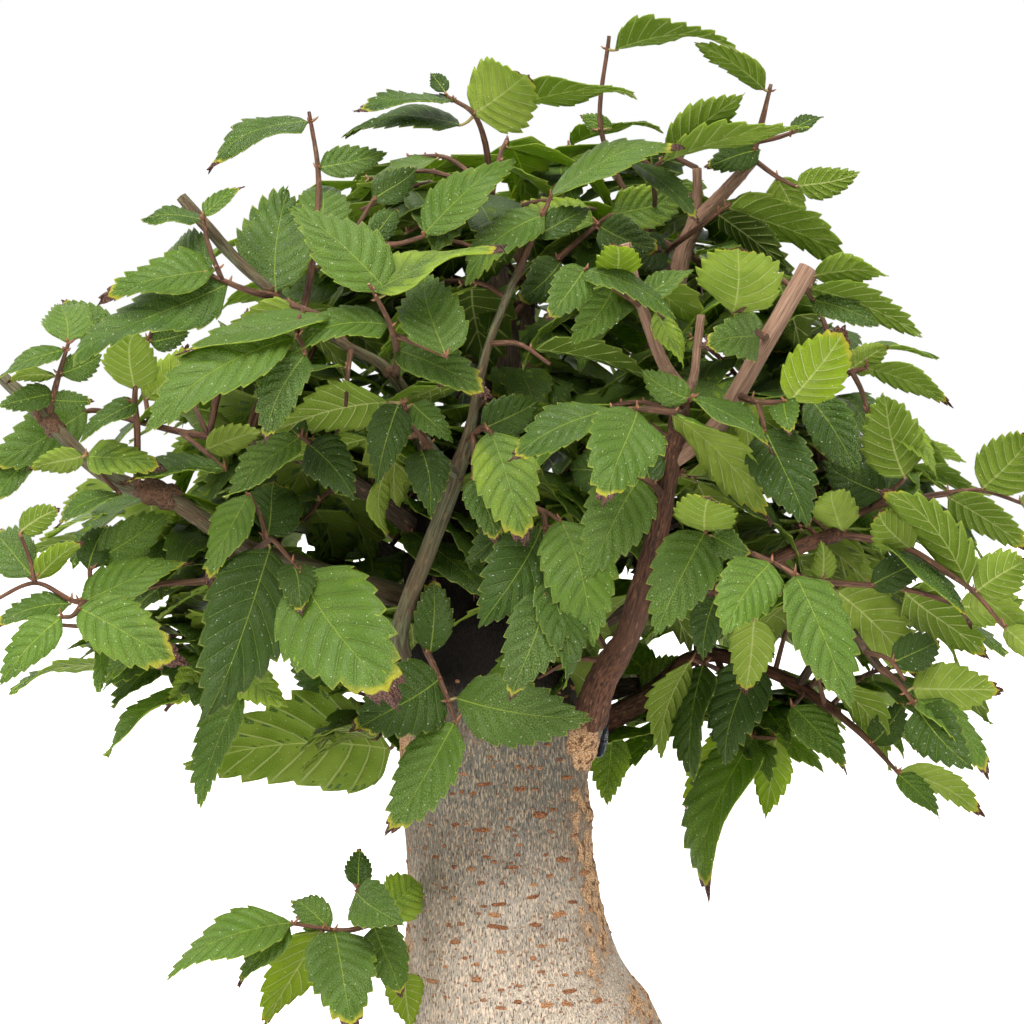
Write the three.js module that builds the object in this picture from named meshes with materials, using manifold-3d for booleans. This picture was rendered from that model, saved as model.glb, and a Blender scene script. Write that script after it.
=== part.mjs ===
import * as THREE from 'three';
import { mergeVertices } from 'three/addons/utils/BufferGeometryUtils.js';
import Module from 'manifold-3d';

const wasm = await Module();
wasm.setup();

// Driving sizes, in millimetres
const MM_PER_PX = 0.32;
const VIEW_DISTANCE = 1300;
const VIEW_HEIGHT = 314;
const PICTURE_CENTRE = 512;
const TREE_SHIFT_X = 0;
const TREE_SHIFT_Y = -6;
const TOUCH_GAP = 0.3;

const POT_LENGTH = 290;
const POT_WIDTH = 214;
const POT_HEIGHT = 78;
const POT_FOOT_HEIGHT = 9;
const POT_FLOOR_THICKNESS = 8;
const POT_WALL = 8;
const POT_RIM = 12;
const POT_RIM_DEPTH = 11;
const POT_BASE_INSET = 22;
const POT_SIDES = 24;
const FOOT_LENGTH = 44;
const FOOT_WIDTH = 14;
const FOOT_X = 74;
const FOOT_Y = 62;
const FOOT_TURN = 0.5;
const DRAIN_RADIUS = 7;
const DRAIN_OFFSET = 62;
const MESH_SIDE = 24;
const MESH_THICKNESS = 0.8;
const MESH_HOLE = 7;
const MESH_BAR = 3;

const SOIL_EDGE_Z = 73;
const SOIL_CROWN_Z = 82;
const SOIL_LIP = 4;
const SOIL_SHOULDER = 0.72;

const LEAF_THICKNESS = 0.7;
const LEAF_ARCH = 0.055;
const LEAF_FOLD = 0.22;
const LEAF_MIN_RATIO = 0.5;
const LEAF_MAX_RATIO = 0.74;
const SHORTEST_LEAF_PX = 84;
const NARROWEST_LEAF_PX = 17;
const TWIG_END_RADIUS = 0.55;
const TWIG_START_RADIUS = 1.2;
const SIDE_TWIG_RADIUS = 0.9;

const LEAF_GREEN = 0x5c8a3c;
const LEAF_DARK = 0x466f30;
const LEAF_LIGHT = 0x7ea04a;
const BARK_GREY = 0x9a8c79;
const SEALANT_BLACK = 0x1d2226;
const POT_BROWN = 0x6b4a38;
const SOIL_BROWN = 0x5a4a3a;
const MESH_GREEN = 0x2e4a3a;

// Trunk outline as seen from the front: picture row, left edge, right edge, half depth in mm
const TRUNK_ROWS = [
  [432, 464, 512, 7],
  [470, 442, 528, 14],
  [520, 418, 545, 19],
  [580, 404, 560, 23],
  [640, 402, 566, 25.5],
  [700, 400, 578, 27.5],
  [800, 402, 590, 28.5],
  [872, 408, 597, 29],
  [960, 406, 622, 33],
  [1000, 407, 652, 37],
  [1060, 404, 676, 41],
  [1120, 398, 682, 45],
  [1165, 388, 688, 50],
  [1232, 356, 716, 60],
  [1306, 380, 690, 50]
];
const TRUNK_SIDES = 14;

// Surface roots: direction in degrees, reach from the trunk axis, thickness at the trunk
const ROOTS = [
  [-100, 76, 13],
  [-48, 84, 12],
  [-5, 92, 13],
  [38, 80, 11],
  [92, 78, 12],
  [140, 82, 11],
  [186, 88, 13],
  [-142, 78, 11]
];
const ROOT_AXIS_X = 12;
const ROOT_REACHES = [0.22, 0.52, 0.78, 1];
const ROOT_TURNS = [0, 0.3, 0.7, 1];
const ROOT_HEIGHTS = [112, 91, 80, 70];
const ROOT_TAPER = [1, 0.85, 0.55, 0.3];
const SCAR_HALF_SIZE = [5.2, 7, 7.4];
const SCAR_PLACE = [582, 744, -8];
const SEALANT_HALF_SIZE = [3.0, 3.6, 7.6];
const SEALANT_PLACE = [599, 733, -3];

// Boughs: points are picture column, picture row and depth in mm away from the viewer
const BOUGHS = {
  rightFront: {
    points: [
      [560, 775, 2], [588, 722, -16], [604, 676, -28], [626, 640, -40], [645, 580, -50],
      [660, 520, -55], [669, 470, -58], [677, 432, -60], [684, 388, -61]
    ],
    radii: [8, 6.4, 5.0, 4.4, 4.0, 3.6, 3.5, 3.3, 2.2],
    sides: 6
  },
  rightCut: {
    points: [[672, 462, -58], [700, 440, -60], [717, 426, -60], [750, 370, -58], [808, 268, -52]],
    radii: [2.6, 3.0, 3.0, 2.9, 2.9],
    sides: 6
  },
  rightStub: {
    points: [[684, 392, -61], [664, 364, -63], [645, 315, -66], [636, 287, -68], [625, 244, -70]],
    radii: [2.3, 2.0, 1.8, 1.8, 1.9],
    sides: 5
  },
  rightPin: {
    points: [[684, 396, -61], [693, 380, -61], [697, 350, -60], [701, 315, -60]],
    radii: [1.8, 1.5, 1.3, 1.3],
    sides: 4
  },
  rightRear: {
    points: [
      [560, 745, 8], [604, 722, 22], [652, 694, 32], [700, 655, 38], [783, 678, 30],
      [838, 713, 14]
    ],
    radii: [6, 4.2, 3.4, 2.6, 2.0, 1.6],
    sides: 5
  },
  rightMid: {
    points: [[640, 604, -46], [700, 598, -52], [773, 560, -46], [812, 542, -40], [838, 534, -37]],
    radii: [2.2, 2.1, 2.0, 2.2, 2.3],
    sides: 5
  },
  rightHigh: {
    points: [[520, 600, 8], [610, 520, 20], [700, 462, 14], [800, 404, -6], [842, 374, -12]],
    radii: [6, 4.2, 3.0, 1.8, 1.4],
    sides: 5
  },
  left: {
    points: [
      [440, 612, -2], [398, 596, -14], [320, 572, -24], [240, 545, -31], [209, 524, -33],
      [163, 495, -35], [130, 486, -35], [95, 467, -32], [49, 421, -28], [2, 377, -22]
    ],
    radii: [6, 4.6, 3.6, 3.1, 3.0, 3.6, 2.9, 2.6, 2.8, 2.2],
    sides: 6
  },
  leftBack: {
    points: [[452, 560, 2], [380, 500, -10], [300, 456, -20], [209, 437, -14]],
    radii: [4.4, 3.2, 2.2, 1.6],
    sides: 4
  },
  leftHigh: {
    points: [
      [452, 520, -8], [432, 470, -26], [392, 374, -44], [340, 342, -54], [300, 315, -60],
      [271, 291, -64], [232, 255, -65], [181, 197, -62]
    ],
    radii: [5, 3.8, 2.7, 2.4, 2.4, 2.4, 2.1, 1.9],
    sides: 5
  },
  centreFront: {
    points: [
      [420, 700, -20], [399, 640, -35], [406, 609, -38], [431, 544, -42], [456, 474, -44],
      [470, 430, -46], [484, 360, -49], [510, 290, -49], [519, 270, -48]
    ],
    radii: [4.4, 3.6, 3.4, 3.5, 3.6, 2.4, 2.0, 1.7, 1.5],
    sides: 5
  },
  centreKnob: {
    points: [[456, 474, -44], [440, 462, -46], [424, 440, -50]],
    radii: [3.0, 2.6, 1.8],
    sides: 4
  },
  leader: {
    points: [[484, 500, 6], [500, 420, 12], [505, 340, 14], [497, 260, 10], [492, 196, 4]],
    radii: [11, 7.0, 4.6, 2.8, 2.0],
    sides: 6
  },
  rightLeader: {
    points: [
      [520, 540, 12], [590, 470, 26], [640, 390, 34], [672, 300, 36], [690, 234, 32],
      [722, 195, 26], [752, 162, 22]
    ],
    radii: [8, 6.0, 4.4, 3.4, 2.8, 2.4, 1.9],
    sides: 6
  },
  crownPin: {
    points: [[690, 234, 32], [697, 200, 30], [697, 168, 28]],
    radii: [2.2, 1.7, 1.5],
    sides: 4
  },
  rightLow: {
    points: [[800, 684, 26], [828, 640, 6], [846, 618, -14], [858, 640, -30], [884, 672, -34]],
    radii: [1.6, 1.4, 1.4, 1.3, 1.2],
    sides: 4
  }
};

// Boughs of the hidden sides: end points in mm, start height, start and end thickness
const HIDDEN_BOUGHS = {
  backRight: { from: [8, 10, 268], to: [92, 62, 304], radii: [6, 2.0] },
  backMiddle: { from: [2, 16, 262], to: [22, 88, 286], radii: [6.5, 2.0] },
  backLeft: { from: [-8, 12, 276], to: [-72, 70, 312], radii: [6, 2.0] },
  backLow: { from: [-2, 20, 238], to: [-34, 84, 250], radii: [4.6, 1.8] },
  backLowRight: { from: [10, 16, 250], to: [70, 80, 252], radii: [4.6, 1.8] },
  backHigh: { from: [2, 8, 330], to: [6, 58, 388], radii: [4.6, 1.8] },
  sideLeft: { from: [-14, 6, 270], to: [-104, 34, 284], radii: [5, 1.8] },
  sideRight: { from: [12, 4, 290], to: [104, 24, 330], radii: [5, 1.8] }
};

// Leafy sprays read off the picture.
// Twig points: column, row, depth. Leaves: base column and row, tip column and row,
// seen width, side shown (1 upper, -1 under), tone (0 plain, 1 yellow-green, 2 dark)
const SPRAYS = [
  {
    name: 'spray_crown_left',
    twigs: [
      [[495, 250, 9], [490, 190, -10], [485, 142, -22], [473, 113, -28], [448, 97, -28]],
      [[476, 116, -27], [496, 112, -30], [513, 107, -32]]
    ],
    leaves: [
      [473, 114, 532, 70, 80, -1, 0],
      [445, 92, 431, 73, 18, 1, 2],
      [455, 100, 356, 104, 14, 1, 0],
      [460, 125, 345, 122, 20, 1, 2],
      [512, 106, 632, 85, 25, -1, 0]
    ]
  },
  {
    name: 'spray_crown_right_front',
    twigs: [
      [[676, 286, 35], [650, 236, 22], [612, 165, 16], [600, 120, 14], [609, 36, 12]],
      [[650, 236, 22], [655, 200, -4], [655, 168, -20], [669, 155, -23]],
      [[655, 168, -20], [640, 160, -24], [626, 160, -27]]
    ],
    leaves: [
      [615, 50, 735, 38, 22, -1, 0],
      [612, 128, 580, 115, 20, 1, 0],
      [668, 155, 742, 92, 42, -1, 0],
      [660, 163, 806, 118, 25, -1, 0],
      [625, 160, 700, 220, 22, 1, 2]
    ]
  },
  {
    name: 'spray_crown_right',
    twigs: [
      [[750, 164, 22], [762, 121, 18], [771, 84, 16]],
      [[756, 142, 20], [776, 138, 15], [797, 131, 12]],
      [[752, 158, 21], [776, 176, 18], [796, 187, 16]]
    ],
    leaves: [
      [765, 90, 697, 42, 28, -1, 0],
      [790, 131, 823, 116, 15, 1, 2],
      [796, 186, 860, 173, 33, -1, 0],
      [760, 150, 706, 168, 34, 1, 2],
      [776, 178, 800, 232, 36, -1, 0]
    ]
  },
  {
    name: 'spray_crown_inner',
    twigs: [
      [[505, 330, 10], [548, 270, 4], [596, 226, 0], [612, 214, -2]]
    ],
    leaves: [
      [594, 224, 514, 204, 34, 1, 1],
      [610, 214, 692, 188, 46, 1, 1],
      [560, 262, 520, 300, 44, 1, 2],
      [600, 226, 660, 250, 44, 1, 2]
    ]
  },
  {
    name: 'spray_centre_top',
    twigs: [
      [[517, 276, -48], [531, 242, -50], [551, 196, -48]]
    ],
    leaves: [
      [551, 197, 678, 131, 32, 1, 0],
      [545, 215, 464, 277, 40, 1, 0],
      [534, 238, 590, 205, 30, 1, 2]
    ]
  },
  {
    name: 'spray_left_high_tip',
    twigs: [
      [[278, 297, -65], [250, 291, -73], [209, 275, -77]],
      [[222, 280, -76], [208, 244, -74], [203, 218, -73]]
    ],
    leaves: [
      [203, 220, 141, 217, 18, 1, 0],
      [203, 216, 243, 186, 16, 1, 0],
      [209, 274, 165, 242, 60, 1, 0],
      [276, 292, 288, 188, 78, 1, 0],
      [228, 284, 71, 350, 50, 1, 0],
      [215, 270, 101, 290, 40, 1, 0]
    ]
  },
  {
    name: 'spray_left_high_up',
    twigs: [
      [[302, 318, -60], [314, 250, -42], [318, 172, -26], [309, 112, -22]],
      [[314, 250, -42], [345, 240, -46], [376, 196, -44]],
      [[345, 240, -46], [396, 244, -52], [424, 236, -56]]
    ],
    leaves: [
      [308, 122, 206, 158, 25, 1, 0],
      [318, 168, 386, 152, 32, 1, 0],
      [318, 238, 318, 176, 55, 1, 0],
      [372, 200, 418, 168, 35, 1, 2],
      [370, 240, 398, 206, 28, 1, 0],
      [424, 235, 512, 155, 45, 1, 0]
    ]
  },
  {
    name: 'spray_left_high_stub',
    twigs: [
      [[396, 376, -44], [397, 352, -74], [389, 322, -92], [369, 284, -97]],
      [[392, 334, -84], [420, 345, -92], [448, 357, -96]]
    ],
    leaves: [
      [388, 292, 292, 205, 62, 1, 0],
      [374, 292, 500, 240, 24, 1, 1],
      [446, 356, 423, 268, 66, 1, 0],
      [396, 350, 491, 393, 45, 1, 0],
      [388, 325, 289, 345, 32, 1, 0]
    ]
  },
  {
    name: 'spray_left_high_low',
    twigs: [
      [[284, 302, -64], [304, 309, -82], [343, 323, -90]],
      [[304, 309, -82], [297, 330, -95], [306, 354, -99]]
    ],
    leaves: [
      [336, 316, 177, 352, 22, 1, 0],
      [294, 338, 146, 420, 62, 1, 0],
      [306, 354, 263, 439, 45, 1, 0],
      [296, 306, 215, 348, 42, -1, 0]
    ]
  },
  {
    name: 'spray_centre_left',
    twigs: [
      [[428, 446, -49], [414, 425, -58], [402, 402, -64]],
      [[420, 434, -54], [400, 438, -50], [376, 440, -46], [382, 474, -44]]
    ],
    leaves: [
      [390, 402, 278, 428, 50, -1, 0],
      [398, 404, 377, 481, 43, 1, 2],
      [413, 404, 452, 440, 30, 1, 0],
      [421, 450, 430, 510, 45, 1, 2],
      [369, 438, 258, 472, 20, -1, 0],
      [383, 475, 387, 539, 20, -1, 0]
    ]
  },
  {
    name: 'spray_left_back',
    twigs: [
      [[214, 438, -14], [180, 432, -12], [117, 416, -6], [88, 411, -8], [40, 446, -10]],
      [[180, 432, -12], [205, 452, -28], [226, 470, -36]],
      [[150, 424, -9], [140, 380, 4], [110, 330, 12]]
    ],
    leaves: [
      [88, 410, -15, 465, 55, 1, 0],
      [36, 450, -12, 505, 30, 1, 0],
      [225, 470, 122, 477, 18, 1, 0],
      [112, 334, 60, 300, 40, 1, 0],
      [146, 400, 190, 345, 40, -1, 1],
      [205, 450, 262, 430, 30, -1, 0]
    ]
  },
  {
    name: 'spray_left_inner',
    twigs: [
      [[300, 458, -21], [310, 444, -48], [300, 436, -64]]
    ],
    leaves: [
      [300, 437, 225, 495, 36, 1, 0],
      [308, 444, 350, 490, 50, 1, 2],
      [303, 440, 262, 400, 40, 1, 2]
    ]
  },
  {
    name: 'spray_left_tip',
    twigs: [
      [[49, 418, -28], [56, 385, -32], [68, 343, -35]]
    ],
    leaves: [
      [67, 343, 57, 302, 51, 1, 0],
      [64, 350, 0, 374, 18, 1, 0],
      [56, 376, 8, 379, 15, -1, 0],
      [52, 400, 92, 401, 22, 1, 0],
      [53, 394, -2, 406, 28, 1, 0],
      [60, 374, 102, 354, 30, 1, 0]
    ]
  },
  {
    name: 'spray_left_mid',
    twigs: [
      [[137, 484, -37], [137, 430, -43], [135, 389, -46], [155, 320, -50]]
    ],
    leaves: [
      [135, 390, 134, 325, 55, -1, 0],
      [138, 402, 80, 440, 20, 1, 0],
      [150, 342, 190, 332, 26, 1, 0]
    ]
  },
  {
    name: 'spray_left_spur',
    twigs: [
      [[100, 470, -33], [92, 460, -39], [86, 456, -41]],
      [[94, 464, -37], [110, 484, -40], [121, 494, -41]]
    ],
    leaves: [
      [86, 456, 164, 463, 34, 1, 1],
      [84, 456, 29, 466, 26, -1, 0],
      [121, 494, 55, 522, 18, 1, 0]
    ]
  },
  {
    name: 'spray_left_low',
    twigs: [
      [
        [262, 556, -30], [209, 580, -34], [160, 584, -40], [110, 598, -44],
        [77, 602, -46], [35, 583, -44], [-8, 602, -42]
      ],
      [[94, 600, -45], [90, 570, -38], [96, 556, -34]],
      [[35, 583, -44], [30, 560, -46], [20, 534, -48]],
      [[84, 602, -46], [72, 616, -52], [62, 617, -54]],
      [[120, 596, -43], [98, 624, -34], [52, 625, -28]]
    ],
    leaves: [
      [20, 532, 62, 508, 28, -1, 0],
      [33, 577, -8, 530, 50, 1, 0],
      [36, 580, 82, 540, 24, -1, 1],
      [88, 570, 108, 524, 34, 1, 2],
      [95, 560, 168, 512, 45, 1, 0],
      [80, 603, 189, 555, 38, 1, 0],
      [78, 608, 184, 664, 62, 1, 1],
      [70, 604, -5, 625, 26, 1, 0],
      [62, 617, 0, 680, 40, 1, 0],
      [94, 626, 103, 690, 18, 1, 0]
    ]
  },
  {
    name: 'spray_left_hanging',
    twigs: [
      [[236, 547, -28], [226, 600, -18], [212, 650, -10], [165, 711, -6]],
      [[216, 640, -12], [236, 664, -22], [243, 690, -26]]
    ],
    leaves: [
      [182, 690, 105, 754, 16, 1, 0],
      [243, 690, 199, 803, 40, 1, 0],
      [206, 660, 168, 706, 34, 1, 1],
      [238, 672, 282, 704, 44, 1, 1]
    ]
  },
  {
    name: 'spray_hero',
    twigs: [
      [[256, 551, -32], [266, 543, -48], [274, 541, -60], [301, 573, -72]],
      [[266, 543, -48], [262, 520, -48], [250, 495, -46]]
    ],
    leaves: [
      [270, 548, 206, 718, 92, 1, 2],
      [301, 574, 394, 695, 115, 1, 0],
      [268, 535, 275, 478, 62, 1, 2],
      [250, 494, 205, 583, 36, 1, 0],
      [292, 564, 300, 610, 40, 1, 2]
    ]
  },
  {
    name: 'spray_front_low',
    twigs: [
      [[426, 640, -6], [427, 652, -42], [440, 680, -52], [456, 722, -58]]
    ],
    leaves: [
      [440, 678, 352, 731, 75, 1, 2],
      [455, 722, 386, 830, 60, 1, 0],
      [456, 698, 588, 719, 70, 1, 0],
      [430, 654, 433, 577, 40, 1, 2]
    ]
  },
  {
    name: 'spray_centre_a',
    twigs: [
      [[468, 440, -46], [482, 428, -62], [492, 432, -72]],
      [[474, 434, -54], [474, 456, -62], [473, 478, -66]]
    ],
    leaves: [
      [490, 431, 523, 543, 65, 1, 1],
      [473, 478, 496, 543, 38, 1, 0],
      [480, 430, 540, 400, 44, 1, 2]
    ]
  },
  {
    name: 'spray_centre_b',
    twigs: [
      [[486, 520, -14], [520, 505, -46], [545, 512, -62], [560, 520, -68]],
      [[545, 512, -62], [546, 556, -70], [545, 595, -76]]
    ],
    leaves: [
      [560, 520, 592, 643, 75, 1, 0],
      [541, 528, 480, 625, 70, 1, 0],
      [545, 594, 508, 697, 60, 1, 0],
      [546, 580, 572, 683, 44, 1, 0],
      [530, 508, 470, 560, 50, 1, 2]
    ]
  },
  {
    name: 'spray_right_front_left',
    twigs: [
      [[683, 400, -61], [678, 412, -78], [640, 409, -86], [612, 410, -88]],
      [[680, 408, -72], [692, 398, -80]]
    ],
    leaves: [
      [637, 411, 605, 497, 78, 1, 0],
      [613, 410, 510, 455, 42, 1, 0],
      [690, 400, 640, 370, 32, 1, 0],
      [691, 398, 776, 447, 22, 1, 0],
      [672, 413, 775, 518, 42, -1, 0]
    ]
  },
  {
    name: 'spray_right_front_inner',
    twigs: [
      [[664, 498, -56], [650, 482, -66], [628, 472, -68]]
    ],
    leaves: [
      [640, 478, 588, 575, 70, 1, 0],
      [628, 472, 570, 470, 50, 1, 2],
      [652, 484, 640, 440, 40, 1, 2]
    ]
  },
  {
    name: 'spray_right_stub',
    twigs: [
      [[642, 306, -66], [622, 292, -76], [600, 277, -81], [584, 270, -83]],
      [[640, 300, -67], [654, 308, -74], [664, 318, -76]]
    ],
    leaves: [
      [616, 285, 616, 240, 45, -1, 1],
      [640, 300, 692, 268, 24, 1, 0],
      [585, 270, 676, 307, 24, 1, 0],
      [585, 268, 548, 318, 42, 1, 0],
      [612, 290, 572, 344, 38, 1, 0],
      [657, 312, 685, 365, 24, 1, 1]
    ]
  },
  {
    name: 'spray_right_cut_up',
    twigs: [
      [[768, 338, -57], [756, 332, -66], [735, 317, -72], [760, 297, -76]]
    ],
    leaves: [
      [733, 314, 737, 242, 90, -1, 0],
      [760, 336, 706, 345, 50, 1, 0]
    ]
  },
  {
    name: 'spray_right_cut_low',
    twigs: [
      [[736, 394, -59], [758, 402, -70], [788, 402, -76]],
      [[758, 402, -70], [765, 430, -74]]
    ],
    leaves: [
      [789, 402, 848, 325, 62, -1, 1],
      [784, 402, 790, 432, 30, 1, 0],
      [752, 402, 750, 460, 20, -1, 1],
      [765, 430, 808, 525, 65, 1, 2]
    ]
  },
  {
    name: 'spray_right_top',
    twigs: [
      [[800, 284, -53], [808, 290, -44], [814, 278, -38]],
      [[805, 288, -48], [812, 300, -38]]
    ],
    leaves: [
      [813, 276, 887, 270, 30, -1, 0],
      [810, 288, 919, 331, 36, -1, 0],
      [812, 300, 878, 322, 30, 1, 0]
    ]
  },
  {
    name: 'spray_leader_front',
    twigs: [
      [[675, 292, 34], [664, 256, 6], [698, 228, -12], [731, 203, -18]]
    ],
    leaves: [
      [726, 207, 853, 255, 45, -1, 0],
      [718, 214, 790, 268, 34, -1, 2],
      [668, 250, 620, 262, 40, 1, 2]
    ]
  },
  {
    name: 'spray_right_high',
    twigs: [
      [[838, 377, -12], [852, 372, -16], [866, 368, -18]],
      [[842, 375, -13], [820, 392, -34], [808, 397, -44]],
      [[852, 372, -16], [862, 392, -26], [868, 412, -32]]
    ],
    leaves: [
      [850, 370, 890, 345, 30, -1, 0],
      [866, 368, 951, 404, 26, -1, 0],
      [808, 397, 857, 473, 48, 1, 0],
      [868, 412, 941, 470, 26, 1, 1]
    ]
  },
  {
    name: 'spray_right_far_high',
    twigs: [
      [[822, 540, -38], [871, 508, -24], [937, 495, -8], [985, 491, 2], [1024, 504, 8]],
      [[871, 508, -24], [890, 492, -32], [905, 479, -36]]
    ],
    leaves: [
      [982, 489, 1035, 430, 60, -1, 0],
      [948, 497, 1030, 548, 38, -1, 0],
      [905, 478, 885, 388, 62, -1, 0],
      [886, 495, 822, 462, 46, 1, 2],
      [1020, 503, 1058, 498, 24, -1, 0]
    ]
  },
  {
    name: 'spray_right_far',
    twigs: [
      [[838, 534, -37], [904, 547, -44], [946, 572, -48], [972, 590, -50], [1005, 628, -52]]
    ],
    leaves: [
      [842, 534, 830, 486, 46, -1, 0],
      [913, 551, 876, 508, 42, -1, 0],
      [875, 541, 973, 622, 16, 1, 0],
      [968, 586, 885, 480, 46, -1, 0],
      [976, 592, 1032, 558, 50, -1, 0],
      [972, 592, 1034, 640, 32, -1, 0],
      [1004, 628, 1052, 668, 26, -1, 0]
    ]
  },
  {
    name: 'spray_right_mid_low',
    twigs: [
      [[776, 560, -46], [803, 578, -40], [904, 589, -34], [962, 606, -30]],
      [[815, 580, -39], [835, 590, -36]]
    ],
    leaves: [
      [836, 591, 920, 675, 62, -1, 0],
      [822, 582, 822, 540, 26, -1, 0],
      [905, 592, 990, 655, 50, -1, 0],
      [960, 606, 1024, 600, 40, -1, 0],
      [870, 586, 930, 560, 36, 1, 2]
    ]
  },
  {
    name: 'spray_right_low',
    twigs: [
      [[880, 668, -34], [898, 682, -36], [916, 706, -38]],
      [[866, 652, -33], [890, 660, -40], [905, 680, -44]]
    ],
    leaves: [
      [912, 688, 1002, 690, 55, -1, 0],
      [917, 708, 971, 767, 55, 1, 2],
      [916, 700, 991, 773, 28, 1, 0],
      [890, 664, 940, 640, 40, 1, 2]
    ]
  },
  {
    name: 'spray_rear_tip',
    twigs: [
      [[836, 712, 14], [866, 738, 2], [898, 773, -8]],
      [[825, 704, 18], [820, 686, 6], [818, 673, -2]],
      [[805, 690, 24], [800, 698, 20], [792, 706, 14]]
    ],
    leaves: [
      [897, 773, 983, 808, 30, -1, 0],
      [898, 774, 940, 817, 24, 1, 0],
      [818, 673, 895, 760, 32, -1, 0],
      [792, 706, 848, 772, 36, 1, 0],
      [872, 744, 905, 700, 34, 1, 2]
    ]
  },
  {
    name: 'spray_rear_hanging',
    twigs: [
      [[716, 656, 38], [730, 690, 30], [752, 735, 24], [776, 738, 22]],
      [[722, 672, 34], [706, 664, 4], [692, 660, -6]],
      [[722, 672, 34], [745, 662, 10], [756, 660, 2]]
    ],
    leaves: [
      [755, 736, 691, 890, 58, 1, 2],
      [775, 738, 767, 816, 38, -1, 1],
      [748, 730, 684, 809, 42, -1, 1],
      [755, 661, 724, 761, 62, 1, 2],
      [704, 664, 690, 778, 38, 1, 2],
      [690, 661, 656, 752, 36, -1, 0]
    ]
  },
  {
    name: 'spray_rear_inner',
    twigs: [
      [[630, 710, 28], [622, 722, 34], [613, 731, 36]],
      [[626, 716, 31], [640, 690, 44], [652, 670, 52]]
    ],
    leaves: [
      [612, 731, 606, 803, 40, 1, 1],
      [640, 692, 682, 655, 44, 1, 1],
      [650, 674, 620, 640, 40, 1, 0]
    ]
  },
  {
    name: 'spray_right_mid_front',
    twigs: [
      [[702, 597, -52], [706, 560, -70], [706, 532, -78]],
      [[704, 590, -56], [730, 600, -64], [755, 618, -66]],
      [[706, 560, -70], [745, 552, -80], [771, 562, -86], [795, 574, -90]]
    ],
    leaves: [
      [795, 575, 852, 703, 65, 1, 0],
      [771, 563, 727, 630, 62, 1, 0],
      [705, 532, 656, 632, 68, 1, 0],
      [712, 536, 752, 554, 32, 1, 0],
      [705, 532, 713, 490, 62, -1, 0],
      [754, 618, 745, 693, 46, -1, 0],
      [716, 596, 703, 658, 38, 1, 2]
    ]
  },
  {
    name: 'spray_back_big',
    twigs: [
      [[432, 694, 10], [402, 728, 42], [392, 748, 54]],
      [[408, 720, 36], [380, 700, 60], [350, 690, 70]]
    ],
    leaves: [
      [391, 749, 187, 764, 100, 1, 1],
      [350, 690, 290, 660, 50, 1, 0]
    ]
  },
  {
    name: 'spray_low_left',
    twigs: [
      [[418, 906, -16], [392, 914, -34], [350, 930, -42], [294, 924, -44]],
      [[372, 922, -38], [358, 900, -44], [358, 886, -46]],
      [[392, 914, -34], [398, 940, -40], [404, 974, -42]]
    ],
    leaves: [
      [292, 923, 167, 966, 42, 1, 0],
      [330, 929, 290, 898, 36, 1, 0],
      [290, 926, 236, 983, 32, 1, 0],
      [322, 930, 262, 1030, 48, -1, 1],
      [334, 930, 352, 1030, 72, 1, 0],
      [358, 888, 360, 848, 28, 1, 2],
      [356, 892, 400, 922, 50, 1, 0],
      [385, 912, 423, 880, 50, 1, 1],
      [374, 926, 402, 994, 48, 1, 0],
      [404, 974, 410, 1024, 40, -1, 1]
    ]
  }
];

// Widest reach of the foliage by picture row: row, left column, right column
const CANOPY = [
  [60, 450, 720],
  [110, 350, 790],
  [200, 170, 850],
  [300, 90, 915],
  [400, 5, 950],
  [500, -10, 1030],
  [600, -5, 1030],
  [680, 70, 1000],
  [740, 180, 985],
  [800, 330, 900]
];
const CANOPY_DEPTH = 0.80;

// Sprays of the hidden sides: bough, place along it, direction in degrees, height, reach, leaves
const HIDDEN_SPRAYS = [
  ['backRight', 0.95, 28, 322, 0.98, 6],
  ['backRight', 0.7, 52, 290, 0.98, 6],
  ['backMiddle', 0.95, 78, 306, 1.0, 6],
  ['backMiddle', 0.75, 104, 276, 1.0, 6],
  ['backLeft', 0.95, 128, 330, 1.0, 6],
  ['backLeft', 0.7, 152, 300, 0.98, 6],
  ['backLow', 0.95, 116, 240, 0.95, 5],
  ['backLowRight', 0.95, 50, 240, 0.95, 5],
  ['backHigh', 0.95, 80, 412, 1.0, 6],
  ['backHigh', 0.6, 130, 392, 0.95, 5],
  ['rightLeader', 0.62, 40, 388, 0.95, 6],
  ['sideLeft', 0.95, 168, 268, 0.95, 5],
  ['sideRight', 0.95, 12, 352, 0.92, 5]
];
const HIDDEN_LEAF_MIN = 36;
const HIDDEN_LEAF_MAX = 47;

// Seeded draw from 0 to 1
function draw(i, j) {
  let h = Math.imul(i + 1, 0x9e3779b1) ^ Math.imul(j + 1, 0x85ebca6b);
  h = Math.imul(h ^ (h >>> 15), 0x2c1b3c6d);
  h = Math.imul(h ^ (h >>> 12), 0x297a2d39);
  return ((h ^ (h >>> 15)) >>> 0) / 4294967296;
}

// Place in space of a picture point at a depth
function at(u, v, y) {
  const scale = MM_PER_PX * (VIEW_DISTANCE + y) / VIEW_DISTANCE;
  const x = (u - PICTURE_CENTRE) * scale;
  const z = VIEW_HEIGHT - (v - PICTURE_CENTRE) * scale;
  return new THREE.Vector3(x + TREE_SHIFT_X, y + TREE_SHIFT_Y, z);
}

function solidOf(geometry) {
  const clean = geometry.clone();
  clean.deleteAttribute('normal');
  clean.deleteAttribute('uv');
  const merged = mergeVertices(clean, 1e-4);
  return new wasm.Manifold(new wasm.Mesh({
    numProp: 3,
    vertProperties: new Float32Array(merged.attributes.position.array),
    triVerts: new Uint32Array(merged.index.array)
  }));
}

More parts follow.
